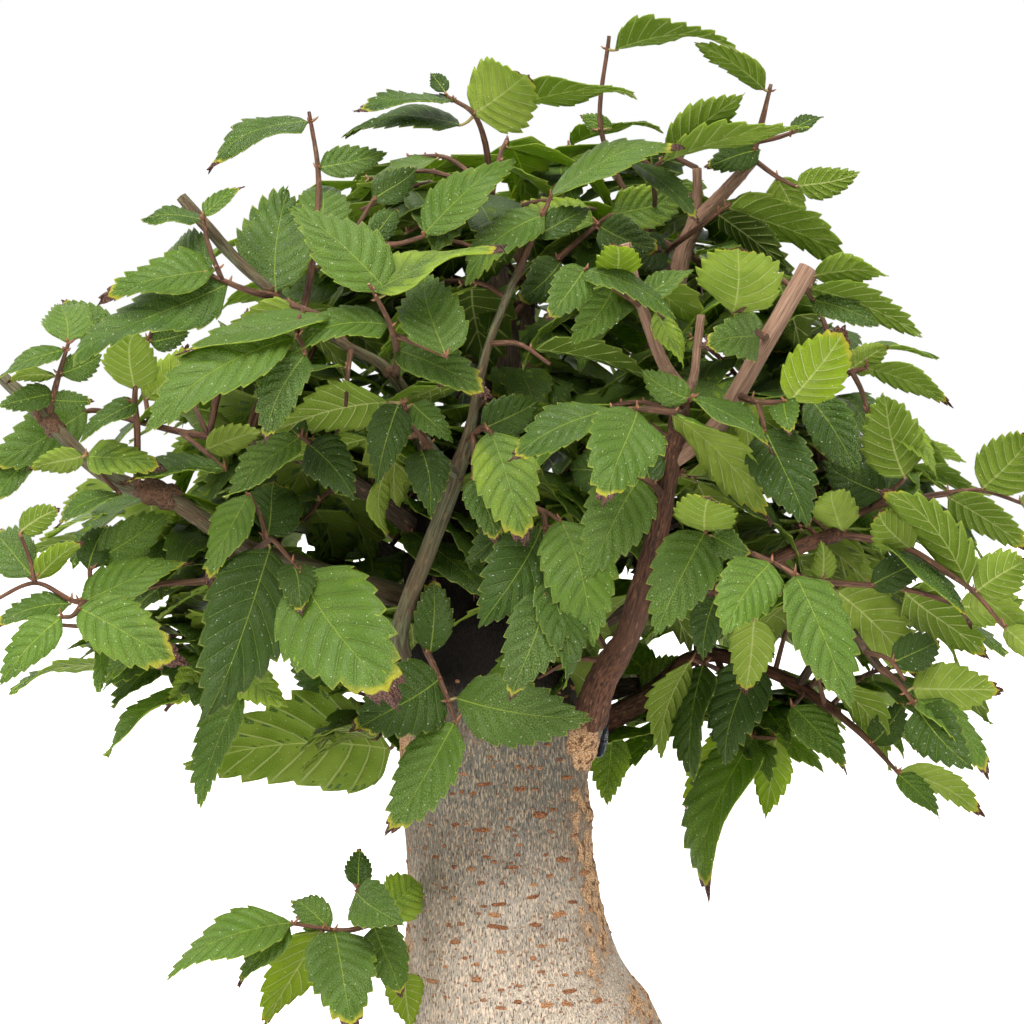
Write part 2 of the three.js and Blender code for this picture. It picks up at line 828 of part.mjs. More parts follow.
function geometryOf(solid) {
  const mesh = solid.getMesh();
  const geometry = new THREE.BufferGeometry();
  geometry.setAttribute('position', new THREE.BufferAttribute(new Float32Array(mesh.vertProperties), 3));
  geometry.setIndex(new THREE.BufferAttribute(new Uint32Array(mesh.triVerts), 1));
  geometry.computeVertexNormals();
  return geometry;
}

// Closed skin through a row of rings with the same number of points
function loft(rings) {
  const sides = rings[0].length;
  const positions = [];
  const index = [];
  for (const ring of rings) {
    for (const p of ring) positions.push(p.x, p.y, p.z);
  }
  for (let i = 0; i < rings.length - 1; i++) {
    for (let j = 0; j < sides; j++) {
      const a = i * sides + j;
      const b = i * sides + (j + 1) % sides;
      index.push(a, b, b + sides, a, b + sides, a + sides);
    }
  }
  const last = (rings.length - 1) * sides;
  for (let j = 1; j < sides - 1; j++) {
    index.push(0, j + 1, j);
    index.push(last, last + j, last + j + 1);
  }
  const geometry = new THREE.BufferGeometry();
  geometry.setAttribute('position', new THREE.BufferAttribute(new Float32Array(positions), 3));
  geometry.setIndex(index);
  return geometry;
}

// Tapered round limb along a smooth curve
function limb(points, radii, sides, steps, grow = 0) {
  const curve = new THREE.CatmullRomCurve3(points, false, 'centripetal');
  const rings = [];
  let side = null;
  for (let i = 0; i <= steps; i++) {
    const t = i / steps;
    const centre = curve.getPoint(t);
    const along = curve.getTangent(t);
    if (grow > 0 && i === 0) centre.addScaledVector(along, -grow);
    if (grow > 0 && i === steps) centre.addScaledVector(along, grow);
    if (!side) {
      side = Math.abs(along.z) < 0.9 ? new THREE.Vector3(0, 0, 1) : new THREE.Vector3(1, 0, 0);
    }
    side.addScaledVector(along, -side.dot(along)).normalize();
    const up = new THREE.Vector3().crossVectors(along, side);
    const place = t * (radii.length - 1);
    const k = Math.min(Math.floor(place), radii.length - 2);
    const radius = THREE.MathUtils.lerp(radii[k], radii[k + 1], place - k) + grow;
    const ring = [];
    for (let j = 0; j < sides; j++) {
      const angle = 2 * Math.PI * (j + 0.5) / sides;
      ring.push(centre.clone()
        .addScaledVector(side, Math.cos(angle) * radius)
        .addScaledVector(up, Math.sin(angle) * radius));
    }
    rings.push(ring);
  }
  return solidOf(loft(rings));
}

function unionOf(solids) {
  return wasm.Manifold.union(solids);
}

// Largest connected body, without loose scraps
function mainBody(solid) {
  const bodies = solid.decompose();
  let best = bodies[0];
  for (const body of bodies) {
    if (body.volume() > best.volume()) best = body;
  }
  return best;
}

// Trunk as a stack of slightly lobed rings
function trunk(grow = 0) {
  const rings = [];
  const rows = TRUNK_ROWS.slice().reverse();
  rows.forEach(([row, left, right, depth], i) => {
    const a = at(left, row, 0);
    const b = at(right, row, 0);
    const lift = grow * (i === 0 ? -1 : i === rows.length - 1 ? 1 : 0);
    const ring = [];
    for (let j = 0; j < TRUNK_SIDES; j++) {
      const angle = 2 * Math.PI * j / TRUNK_SIDES;
      const lobe = 1 + 0.025 * (draw(j, 40 + (i >> 1)) - 0.5) * 2 * (j % (TRUNK_SIDES / 2) ? 1 : 0);
      const halfWidth = (b.x - a.x) / 2 + grow;
      ring.push(new THREE.Vector3(
        (a.x + b.x) / 2 + Math.cos(angle) * halfWidth * lobe,
        TREE_SHIFT_Y + Math.sin(angle) * (depth + grow) * lobe,
        a.z + lift
      ));
    }
    rings.push(ring);
  });
  return solidOf(loft(rings));
}

function roots(grow = 0) {
  return ROOTS.map(([degrees, reach, thickness], i) => {
    const angle = THREE.MathUtils.degToRad(degrees);
    const bend = (draw(i, 7) - 0.5) * 0.5;
    const points = ROOT_REACHES.map((share, k) => new THREE.Vector3(
      ROOT_AXIS_X + TREE_SHIFT_X + Math.cos(angle + bend * ROOT_TURNS[k]) * reach * share,
      TREE_SHIFT_Y + Math.sin(angle + bend * ROOT_TURNS[k]) * reach * share,
      ROOT_HEIGHTS[k]
    ));
    return limb(points, ROOT_TAPER.map((share) => share * thickness), 6, 4, grow);
  });
}

function boughPoints(name) {
  if (BOUGHS[name]) return BOUGHS[name].points.map((p) => at(...p));
  const { from, to } = HIDDEN_BOUGHS[name];
  const shift = new THREE.Vector3(TREE_SHIFT_X, TREE_SHIFT_Y, 0);
  const a = new THREE.Vector3(...from).add(shift);
  const b = new THREE.Vector3(...to).add(shift);
  const middle = a.clone().lerp(b, 0.5);
  middle.z += 5;
  return [a, middle, b];
}

function boughs(grow = 0) {
  const limbs = [];
  for (const name of Object.keys(BOUGHS)) {
    const { radii, sides } = BOUGHS[name];
    const points = boughPoints(name);
    limbs.push(limb(points, radii, sides, points.length - 1, grow));
  }
  for (const name of Object.keys(HIDDEN_BOUGHS)) {
    limbs.push(limb(boughPoints(name), HIDDEN_BOUGHS[name].radii, 4, 2, grow));
  }
  return limbs;
}

// Rough scar collar at the foot of the right bough
function scar(grow = 0) {
  const ball = new THREE.SphereGeometry(1, 6, 4);
  ball.scale(...SCAR_HALF_SIZE.map((half) => half + grow));
  const centre = at(...SCAR_PLACE);
  ball.translate(centre.x, centre.y, centre.z);
  return solidOf(ball);
}

function woodSolid(grow = 0) {
  const parts = [trunk(grow), scar(grow), ...roots(grow), ...boughs(grow)];
  return mainBody(unionOf(parts));
}

// Toothed leaf: half outline from base to tip as share of length and of half width
const HALF_LEAF = [
  [0.30, 0.96],
  [0.35, 0.78],
  [0.65, 0.82],
  [0.70, 0.52]
];
const LEAF_HEART = 0.42;

function leafSolid(leaf, extra = 0) {
  const { base, along, across, normal, length, width } = leaf;
  const flat = [[0, 0]];
  for (const [s, t] of HALF_LEAF) flat.push([s, t]);
  flat.push([1, 0]);
  for (const [s, t] of HALF_LEAF.slice().reverse()) flat.push([s, -t]);
  flat.push([LEAF_HEART, 0]);
  const count = flat.length - 1;
  const positions = [];
  const index = [];
  for (const side of [1, -1]) {
    for (const [s, t] of flat) {
      const rise = LEAF_ARCH * length * 4 * s * (1 - s) + LEAF_FOLD * Math.abs(t) * width / 2;
      const p = base.clone()
        .addScaledVector(along, s * length)
        .addScaledVector(across, t * width / 2)
        .addScaledVector(normal, rise + side * (LEAF_THICKNESS + extra) / 2);
      positions.push(p.x, p.y, p.z);
    }
  }
  const lower = count + 1;
  for (let i = 0; i < count; i++) {
    const j = (i + 1) % count;
    index.push(count, j, i);
    index.push(lower + count, lower + i, lower + j);
    index.push(i, j, lower + j, i, lower + j, lower + i);
  }
  const geometry = new THREE.BufferGeometry();
  geometry.setAttribute('position', new THREE.BufferAttribute(new Float32Array(positions), 3));
  geometry.setIndex(index);
  return solidOf(geometry);
}

// Leaf axes from its base, its tip and the way its upper side faces
function leafFrame(base, tip, normal, width) {
  const along = tip.clone().sub(base);
  const length = along.length();
  along.divideScalar(length);
  const up = normal.clone().addScaledVector(along, -normal.dot(along)).normalize();
  const across = new THREE.Vector3().crossVectors(up, along);
  return { base, along, across, normal: up, length, width };
}

// Depth of a twig where it passes closest to a picture point
function twigDepth(twigs, u, v) {
  let best = 1e9;
  let depth = 0;
  for (const twig of twigs) {
    for (let i = 0; i < twig.length - 1; i++) {
      const [u0, v0, y0] = twig[i];
      const [u1, v1, y1] = twig[i + 1];
      const du = u1 - u0;
      const dv = v1 - v0;
      const t = THREE.MathUtils.clamp(((u - u0) * du + (v - v0) * dv) / (du * du + dv * dv), 0, 1);
      const gap = Math.hypot(u - u0 - t * du, v - v0 - t * dv);
      if (gap < best) {
        best = gap;
        depth = y0 + t * (y1 - y0);
      }
    }
  }
  return depth;
}

// Closest place on the twigs to a point in space
function nearestOnTwigs(twigs, point) {
  let best = null;
  let bestGap = 1e9;
  for (const twig of twigs) {
    for (let i = 0; i < twig.length - 1; i++) {
      const line = new THREE.Line3(twig[i], twig[i + 1]);
      const spot = line.closestPointToPoint(point, true, new THREE.Vector3());
      const gap = spot.distanceTo(point);
      if (gap < bestGap) {
        bestGap = gap;
        best = spot;
      }
    }
  }
  return best;
}

// Leaf seen in the picture: its tilt follows from how wide and long it looks
function pictureLeaf(row, twigs, seed) {
  const [bu, bv, tu, tv, seenWidth, face] = row;
  const depth = twigDepth(twigs, bu, bv);
  const seenLength = Math.hypot(tu - bu, tv - bv);
  const trueLength = Math.max(seenLength * 1.03, seenWidth / 0.6);
  const reach = Math.min(28, MM_PER_PX * Math.sqrt(trueLength ** 2 - seenLength ** 2));
  const tipAbove = tv < bv;
  const toward = (face > 0) !== tipAbove;
  const tipDepth = depth + (toward ? -reach : reach);
  const base = at(bu, bv, depth);
  const tip = at(tu, tv, tipDepth);
  const length = base.distanceTo(tip);
  const seenMm = seenWidth * MM_PER_PX * (VIEW_DISTANCE + depth) / VIEW_DISTANCE;
  const width = THREE.MathUtils.clamp(seenMm, LEAF_MIN_RATIO * length, LEAF_MAX_RATIO * length);
  const along = tip.clone().sub(base).normalize();
  const eye = new THREE.Vector3(TREE_SHIFT_X, TREE_SHIFT_Y - VIEW_DISTANCE, VIEW_HEIGHT);
  eye.sub(base).normalize();
  const facing = eye.addScaledVector(along, -eye.dot(along)).normalize();
  const sideways = new THREE.Vector3().crossVectors(along, facing);
  const roll = Math.acos(Math.min(1, seenMm / width));
  const lean = Math.abs(sideways.z) > 0.15 ? Math.sign(sideways.z) : Math.sign(draw(seed, 3) - 0.5);
  const normal = facing.multiplyScalar(Math.cos(roll) * face)
    .addScaledVector(sideways, Math.sin(roll) * lean);
  return leafFrame(base, tip, normal, width);
}

// Leaves large enough to be built as solids
function isLargeLeaf([bu, bv, tu, tv, seenWidth]) {
  const seenLength = Math.hypot(tu - bu, tv - bv);
  return Math.max(seenLength, seenWidth / 0.6) >= SHORTEST_LEAF_PX && seenWidth >= NARROWEST_LEAF_PX;
}

// Turn a leaf about its base by two small angles
function turned(leaf, swing, pitch) {
  const turn = (v) => v.clone()
    .applyAxisAngle(leaf.normal, swing)
    .applyAxisAngle(leaf.across, pitch);
  return {
    ...leaf,
    along: turn(leaf.along),
    across: turn(leaf.across),
    normal: turn(leaf.normal)
  };
}

const TURNS = [[0, 0]];
for (const size of [0.12, 0.24, 0.38]) {
  TURNS.push([0, size], [0, -size], [size, 0], [-size, 0], [size, size], [-size, -size]);
}

function boxesMeet(a, b) {
  for (let k = 0; k < 3; k++) {
    if (a.min[k] > b.max[k] || b.min[k] > a.max[k]) return false;
  }
  return true;
}

function meet(a, b) {
  return boxesMeet(a.box, b.box) ? a.solid.intersect(b.solid).volume() : 0;
}

function boxed(solid) {
  return { solid, box: solid.boundingBox() };
}

// Shared volume in mm3 that a leaf may lose to the wood at its foot, or share with its own spray
const WOOD_TOUCH = 4;
const LEAF_TOUCH = 0.8;

// Everything placed so far, with the spray that it belongs to
const placed = [];
const wood = woodSolid();
const woodRoom = boxed(woodSolid(TOUCH_GAP));

function clearOfOthers(shape, owner) {
  for (const other of placed) {
    if (other.owner !== owner && meet(shape, other) > 1e-6) return false;
  }
  return true;
}

function clearOfOwn(shape, owner) {
  for (const other of placed) {
    if (other.owner === owner && other.leaf && meet(shape, other) > LEAF_TOUCH) return false;
  }
  return true;
}

// First turn of the leaf that clears the wood, the other sprays and its own spray
function settle(leaf, owner, kept, mayCross) {
  for (const strict of mayCross ? [true, false] : [true]) {
    for (const [swing, pitch] of TURNS) {
      const bent = turned(leaf, swing, pitch);
      const fat = boxed(leafSolid(bent, 2 * TOUCH_GAP));
      if (meet(fat, woodRoom) > WOOD_TOUCH) continue;
      if (!clearOfOthers(fat, owner)) continue;
      const solid = leafSolid(bent);
      if (strict && !clearOfOwn(boxed(solid), owner)) continue;
      placed.push({ ...boxed(solid), owner, leaf: true });
      kept.push(solid);
      return true;
    }
  }
  return false;
}

function twigSolids(twigs, owner) {
  return twigs.map((points, i) => {
    const start = i === 0 ? TWIG_START_RADIUS : SIDE_TWIG_RADIUS;
    const steps = points.length - 1;
    const solid = limb(points, [start, TWIG_END_RADIUS], 3, steps);
    const fat = boxed(limb(points, [start, TWIG_END_RADIUS], 3, steps, TOUCH_GAP));
    placed.push({ ...boxed(solid), owner, leaf: false });
    if (!clearOfOthers(fat, owner)) throw new Error(`twig ${i} of ${owner} crosses another`);
    return solid;
  });
}

// Leafy twig of the hidden sides, curving out and a little down
function hiddenTwig(bough, place, degrees, height, reach) {
  const curve = new THREE.CatmullRomCurve3(boughPoints(bough), false, 'centripetal');
  const start = curve.getPoint(place);
  const row = PICTURE_CENTRE - (height - VIEW_HEIGHT) / MM_PER_PX;
  let k = 0;
  while (k < CANOPY.length - 2 && row > CANOPY[k + 1][0]) k++;
  const t = THREE.MathUtils.clamp((row - CANOPY[k][0]) / (CANOPY[k + 1][0] - CANOPY[k][0]), 0, 1);
  const left = THREE.MathUtils.lerp(CANOPY[k][1], CANOPY[k + 1][1], t);
  const right = THREE.MathUtils.lerp(CANOPY[k][2], CANOPY[k + 1][2], t);
  const angle = THREE.MathUtils.degToRad(degrees);
  const halfX = Math.abs((Math.cos(angle) > 0 ? right : left) - PICTURE_CENTRE) * MM_PER_PX;
  const halfY = (right - left) / 2 * MM_PER_PX * CANOPY_DEPTH;
  const end = new THREE.Vector3(
    TREE_SHIFT_X + Math.cos(angle) * (halfX * reach - 30),
    TREE_SHIFT_Y + Math.sin(angle) * (halfY * reach - 30),
    height
  );
  const middle = start.clone().lerp(end, 0.5);
  middle.z += 0.10 * start.distanceTo(end);
  return [start, middle, end];
}

function hiddenLeaves(points, count, seed) {
  const curve = new THREE.CatmullRomCurve3(points, false, 'centripetal');
  const leaves = [];
  for (let i = 0; i < count; i++) {
    const t = i === count - 1 ? 1 : 0.22 + 0.74 * i / (count - 1);
    const base = curve.getPoint(t);
    const forward = curve.getTangent(t);
    const flatForward = new THREE.Vector3(forward.x, forward.y, 0).normalize();
    const side = i === count - 1 ? 0 : (i % 2 ? 1 : -1);
    const swing = side * (0.75 + 0.4 * draw(seed, i * 5 + 1)) + 0.2 * (draw(seed, i * 5 + 2) - 0.5);
    const way = flatForward.applyAxisAngle(new THREE.Vector3(0, 0, 1), swing);
    way.z = 0.15 - 0.6 * draw(seed, i * 5 + 3);
    way.normalize();
    const length = THREE.MathUtils.lerp(HIDDEN_LEAF_MIN, HIDDEN_LEAF_MAX, draw(seed, i * 5 + 4));
    const tip = base.clone().addScaledVector(way, length);
    const tilt = new THREE.Vector3(
      way.x * 0.25 + 0.5 * (draw(seed, i * 5 + 5) - 0.5),
      way.y * 0.25 + 0.5 * (draw(seed, i * 5 + 6) - 0.5),
      1
    );
    leaves.push(leafFrame(base, tip, tilt, length * (0.5 + 0.1 * draw(seed, i * 5 + 7))));
  }
  return leaves;
}

// Soil: a low mound with plain holes for trunk and roots
function soilSolid() {
  const top = [];
  const inner = POT_LENGTH / 2 - POT_RIM - TOUCH_GAP;
  const floorZ = POT_FOOT_HEIGHT + POT_FLOOR_THICKNESS + MESH_THICKNESS + 2 * TOUCH_GAP;
  const floorRadius = wallInside(floorZ) - TOUCH_GAP;
  top.push(new THREE.Vector2(0, floorZ));
  top.push(new THREE.Vector2(floorRadius, floorZ));
  top.push(new THREE.Vector2(inner, SOIL_EDGE_Z - SOIL_LIP));
  top.push(new THREE.Vector2(inner, SOIL_EDGE_Z));
  const shoulderZ = THREE.MathUtils.lerp(SOIL_EDGE_Z, SOIL_CROWN_Z, 0.6);
  top.push(new THREE.Vector2(inner * SOIL_SHOULDER, shoulderZ));
  top.push(new THREE.Vector2(0, SOIL_CROWN_Z));
  const mound = new THREE.LatheGeometry(top, POT_SIDES);
  mound.rotateX(Math.PI / 2);
  mound.scale(1, POT_WIDTH / POT_LENGTH, 1);
  return mainBody(solidOf(mound).subtract(woodRoom.solid));
}

// Inside radius of the pot, along its length, at a height
function wallInside(z) {
  const low = POT_LENGTH / 2 - POT_BASE_INSET - POT_WALL;
  const high = POT_LENGTH / 2 - POT_RIM;
  const floorTop = POT_FOOT_HEIGHT + POT_FLOOR_THICKNESS;
  const t = (z - floorTop) / (SOIL_EDGE_Z - SOIL_LIP - floorTop);
  return THREE.MathUtils.lerp(low, high, THREE.MathUtils.clamp(t, 0, 1));
}

function potSolid() {
  const half = POT_LENGTH / 2;
  const floorTop = POT_FOOT_HEIGHT + POT_FLOOR_THICKNESS;
  const profile = [
    new THREE.Vector2(0, POT_FOOT_HEIGHT),
    new THREE.Vector2(half - POT_BASE_INSET - 4, POT_FOOT_HEIGHT),
    new THREE.Vector2(half - POT_BASE_INSET, POT_FOOT_HEIGHT + 4),
    new THREE.Vector2(half - 6, POT_HEIGHT - POT_RIM_DEPTH - 2),
    new THREE.Vector2(half, POT_HEIGHT - POT_RIM_DEPTH),
    new THREE.Vector2(half, POT_HEIGHT - 1.5),
    new THREE.Vector2(half - 1.5, POT_HEIGHT),
    new THREE.Vector2(half - POT_RIM, POT_HEIGHT),
    new THREE.Vector2(half - POT_RIM, SOIL_EDGE_Z - SOIL_LIP),
    new THREE.Vector2(half - POT_BASE_INSET - POT_WALL, floorTop),
    new THREE.Vector2(0, floorTop)
  ];
  const bowl = new THREE.LatheGeometry(profile, POT_SIDES);
  bowl.rotateX(Math.PI / 2);
  bowl.scale(1, POT_WIDTH / POT_LENGTH, 1);
  let pot = solidOf(bowl);
  for (const sx of [-1, 1]) {
    for (const sy of [-1, 1]) {
      const foot = new THREE.BoxGeometry(FOOT_LENGTH, FOOT_WIDTH, POT_FOOT_HEIGHT + 2);
      foot.rotateZ(-sx * sy * FOOT_TURN);
      foot.translate(sx * FOOT_X, sy * FOOT_Y, (POT_FOOT_HEIGHT + 2) / 2);
      pot = pot.add(solidOf(foot));
    }
    const drain = new THREE.CylinderGeometry(DRAIN_RADIUS, DRAIN_RADIUS, 40, 14);
    drain.rotateX(Math.PI / 2);
    drain.translate(sx * DRAIN_OFFSET, 0, floorTop - 10);
    pot = pot.subtract(solidOf(drain));
  }
  return pot;
}

function drainMesh() {
  let sheet = solidOf(new THREE.BoxGeometry(MESH_SIDE, MESH_SIDE, MESH_THICKNESS));
  const offset = (MESH_HOLE + MESH_BAR) / 2;
  for (const i of [-1, 1]) {
    for (const j of [-1, 1]) {
      const hole = new THREE.BoxGeometry(MESH_HOLE, MESH_HOLE, 4 * MESH_THICKNESS);
      hole.translate(i * offset, j * offset, 0);
      sheet = sheet.subtract(solidOf(hole));
    }
  }
  return geometryOf(sheet);
}

function sealantSolid() {
  const bead = new THREE.SphereGeometry(1, 7, 5);
  bead.scale(...SEALANT_HALF_SIZE);
  const centre = at(...SEALANT_PLACE);
  bead.translate(centre.x, centre.y, centre.z);
  return mainBody(solidOf(bead).subtract(woodRoom.solid));
}

function paint(colour, roughness) {
  return new THREE.MeshStandardMaterial({ color: colour, roughness, metalness: 0 });
}

const bonsai = new THREE.Group();
bonsai.name = 'zelkova_bonsai';

function addPiece(name, geometry, material) {
  const mesh = new THREE.Mesh(geometry, material);
  mesh.name = name;
  bonsai.add(mesh);
  return mesh;
}

addPiece('pot', geometryOf(potSolid()), paint(POT_BROWN, 0.75));
addPiece('soil', geometryOf(soilSolid()), paint(SOIL_BROWN, 0.95));
for (const [name, x] of [['drain_mesh_left', -DRAIN_OFFSET], ['drain_mesh_right', DRAIN_OFFSET]]) {
  const mesh = addPiece(name, drainMesh(), paint(MESH_GREEN, 0.6));
  mesh.position.set(x, 0, POT_FOOT_HEIGHT + POT_FLOOR_THICKNESS + TOUCH_GAP + MESH_THICKNESS / 2);
}
addPiece('wood', geometryOf(wood), paint(BARK_GREY, 0.85));
const sealant = sealantSolid();
addPiece('wound_sealant', geometryOf(sealant), paint(SEALANT_BLACK, 0.3));
placed.push({ ...boxed(sealant), owner: 'wound_sealant', leaf: false });

// Twigs first, then leaves, so that every leaf knows all twigs
const jobs = SPRAYS.map((spray) => ({
  name: spray.name,
  twigs: spray.twigs.map((twig) => twig.map((p) => at(...p))),
  rows: spray.leaves,
  picture: spray.twigs,
  tone: spray.leaves[0][6]
}));
HIDDEN_SPRAYS.forEach(([bough, place, degrees, height, reach, count], i) => {
  const points = hiddenTwig(bough, place, degrees, height, reach);
  jobs.push({ name: `spray_hidden_${i + 1}`, twigs: [points], count, seed: 500 + i, tone: 0 });
});
for (const job of jobs) job.solids = twigSolids(job.twigs, job.name);

for (const job of jobs) {
  let leaves;
  if (job.rows) {
    leaves = job.rows
      .filter(isLargeLeaf)
      .map((row, i) => pictureLeaf(row, job.picture, i));
  } else {
    leaves = hiddenLeaves(job.twigs[0], job.count, job.seed);
  }
  for (const leaf of leaves) {
    const tip = leaf.base.clone().addScaledVector(leaf.along, leaf.length);
    const spot = nearestOnTwigs(job.twigs, leaf.base);
    const rooted = leafFrame(spot, tip, leaf.normal, leaf.width);
    settle(rooted, job.name, job.solids, Boolean(job.rows));
  }
}

for (const job of jobs) {
  const body = mainBody(unionOf(job.solids).subtract(woodRoom.solid));
  const colour = [LEAF_GREEN, LEAF_LIGHT, LEAF_DARK][job.tone];
  addPiece(job.name, geometryOf(body), paint(colour, 0.6));
}

export default bonsai;
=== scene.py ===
import math
import random

import bmesh
import bpy
import numpy as np
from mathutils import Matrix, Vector
from mathutils.bvhtree import BVHTree


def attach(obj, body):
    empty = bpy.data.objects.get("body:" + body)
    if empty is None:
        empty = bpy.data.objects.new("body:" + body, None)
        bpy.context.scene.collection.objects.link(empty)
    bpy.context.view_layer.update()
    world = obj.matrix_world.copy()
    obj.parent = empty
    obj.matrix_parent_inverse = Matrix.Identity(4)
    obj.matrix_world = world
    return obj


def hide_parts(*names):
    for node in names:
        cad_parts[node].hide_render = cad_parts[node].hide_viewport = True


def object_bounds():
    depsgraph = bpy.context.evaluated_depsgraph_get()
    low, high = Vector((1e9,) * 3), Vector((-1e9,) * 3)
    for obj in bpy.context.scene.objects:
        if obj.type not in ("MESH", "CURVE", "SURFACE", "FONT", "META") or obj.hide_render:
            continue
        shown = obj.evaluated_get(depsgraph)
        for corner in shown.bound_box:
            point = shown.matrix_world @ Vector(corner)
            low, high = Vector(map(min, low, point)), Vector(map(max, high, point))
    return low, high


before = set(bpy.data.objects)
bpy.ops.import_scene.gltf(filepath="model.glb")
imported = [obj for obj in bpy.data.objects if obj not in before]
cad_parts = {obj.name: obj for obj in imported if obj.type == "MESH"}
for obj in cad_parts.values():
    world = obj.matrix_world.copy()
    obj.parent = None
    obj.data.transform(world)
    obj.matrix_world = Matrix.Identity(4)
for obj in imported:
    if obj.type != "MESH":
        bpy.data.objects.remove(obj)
cad_low, cad_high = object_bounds()

# Driving sizes. Lengths in the tables are millimetres, and MM turns them into metres.
MM = 0.001
MM_PER_PX = 0.32
VIEW_DISTANCE = 1300
VIEW_HEIGHT = 314
PICTURE_CENTRE = 512
TREE_SHIFT_X = 0
TREE_SHIFT_Y = -6
LENS = 142.8
SENSOR = 36
EYE = (TREE_SHIFT_X, TREE_SHIFT_Y - VIEW_DISTANCE, VIEW_HEIGHT)

POT_LENGTH = 290
POT_WIDTH = 214
POT_HEIGHT = 78
POT_FOOT_HEIGHT = 9
POT_FLOOR_THICKNESS = 8
POT_WALL = 8
POT_RIM = 12
POT_RIM_DEPTH = 11
POT_BASE_INSET = 22
FOOT_LENGTH = 44
FOOT_WIDTH = 14
FOOT_X = 74
FOOT_Y = 62
FOOT_TURN = 0.5
DRAIN_RADIUS = 7
DRAIN_OFFSET = 62
SOIL_EDGE_Z = 73
SOIL_CROWN_Z = 82

POT_SQUEEZE = POT_WIDTH / POT_LENGTH
POT_SIDES = 128
SOIL_SIDES = 96
SOIL_RINGS = 24
GRANULE_PITCH = 3.5

TRUNK_VOXEL = 1.5
TRUNK_ROUNDS = 3
MORE_LENTICELS = 430
LENTICEL_LOW = 98
LENTICEL_HIGH = 262

LEAF_THICKNESS = 0.3
LEAF_MIN_RATIO = 0.5
LEAF_MAX_RATIO = 0.74

# Trunk outline as seen from the front: picture row, left edge, right edge, half depth in mm
TRUNK_ROWS = [
    (432, 464, 512, 7), (470, 442, 528, 14), (520, 418, 545, 19), (580, 404, 560, 23),
    (640, 402, 566, 25.5), (700, 400, 578, 27.5), (800, 402, 590, 28.5), (872, 408, 597, 29),
    (960, 406, 622, 33), (1000, 407, 652, 37), (1060, 404, 676, 41), (1120, 398, 682, 45),
    (1165, 388, 688, 50), (1232, 356, 716, 60), (1306, 380, 690, 50),
]

# Surface roots: direction in degrees, reach from the trunk axis, thickness at the trunk
ROOTS = [
    (-100, 76, 13), (-48, 84, 12), (-5, 92, 13), (38, 80, 11), (92, 78, 12), (140, 82, 11),
    (186, 88, 13), (-142, 78, 11),
]
ROOT_AXIS_X = 12
ROOT_REACHES = (0.22, 0.52, 0.78, 1)
ROOT_TURNS = (0, 0.3, 0.7, 1)
ROOT_HEIGHTS = (112, 91, 80, 70)
ROOT_TAPER = (1, 0.85, 0.55, 0.3)
SCAR_HALF_SIZE = (5.2, 7, 7.4)
SCAR_PLACE = (582, 744, -8)
SEALANT_HALF_SIZE = (3.0, 3.6, 7.6)
SEALANT_PLACE = (599, 733, -3)

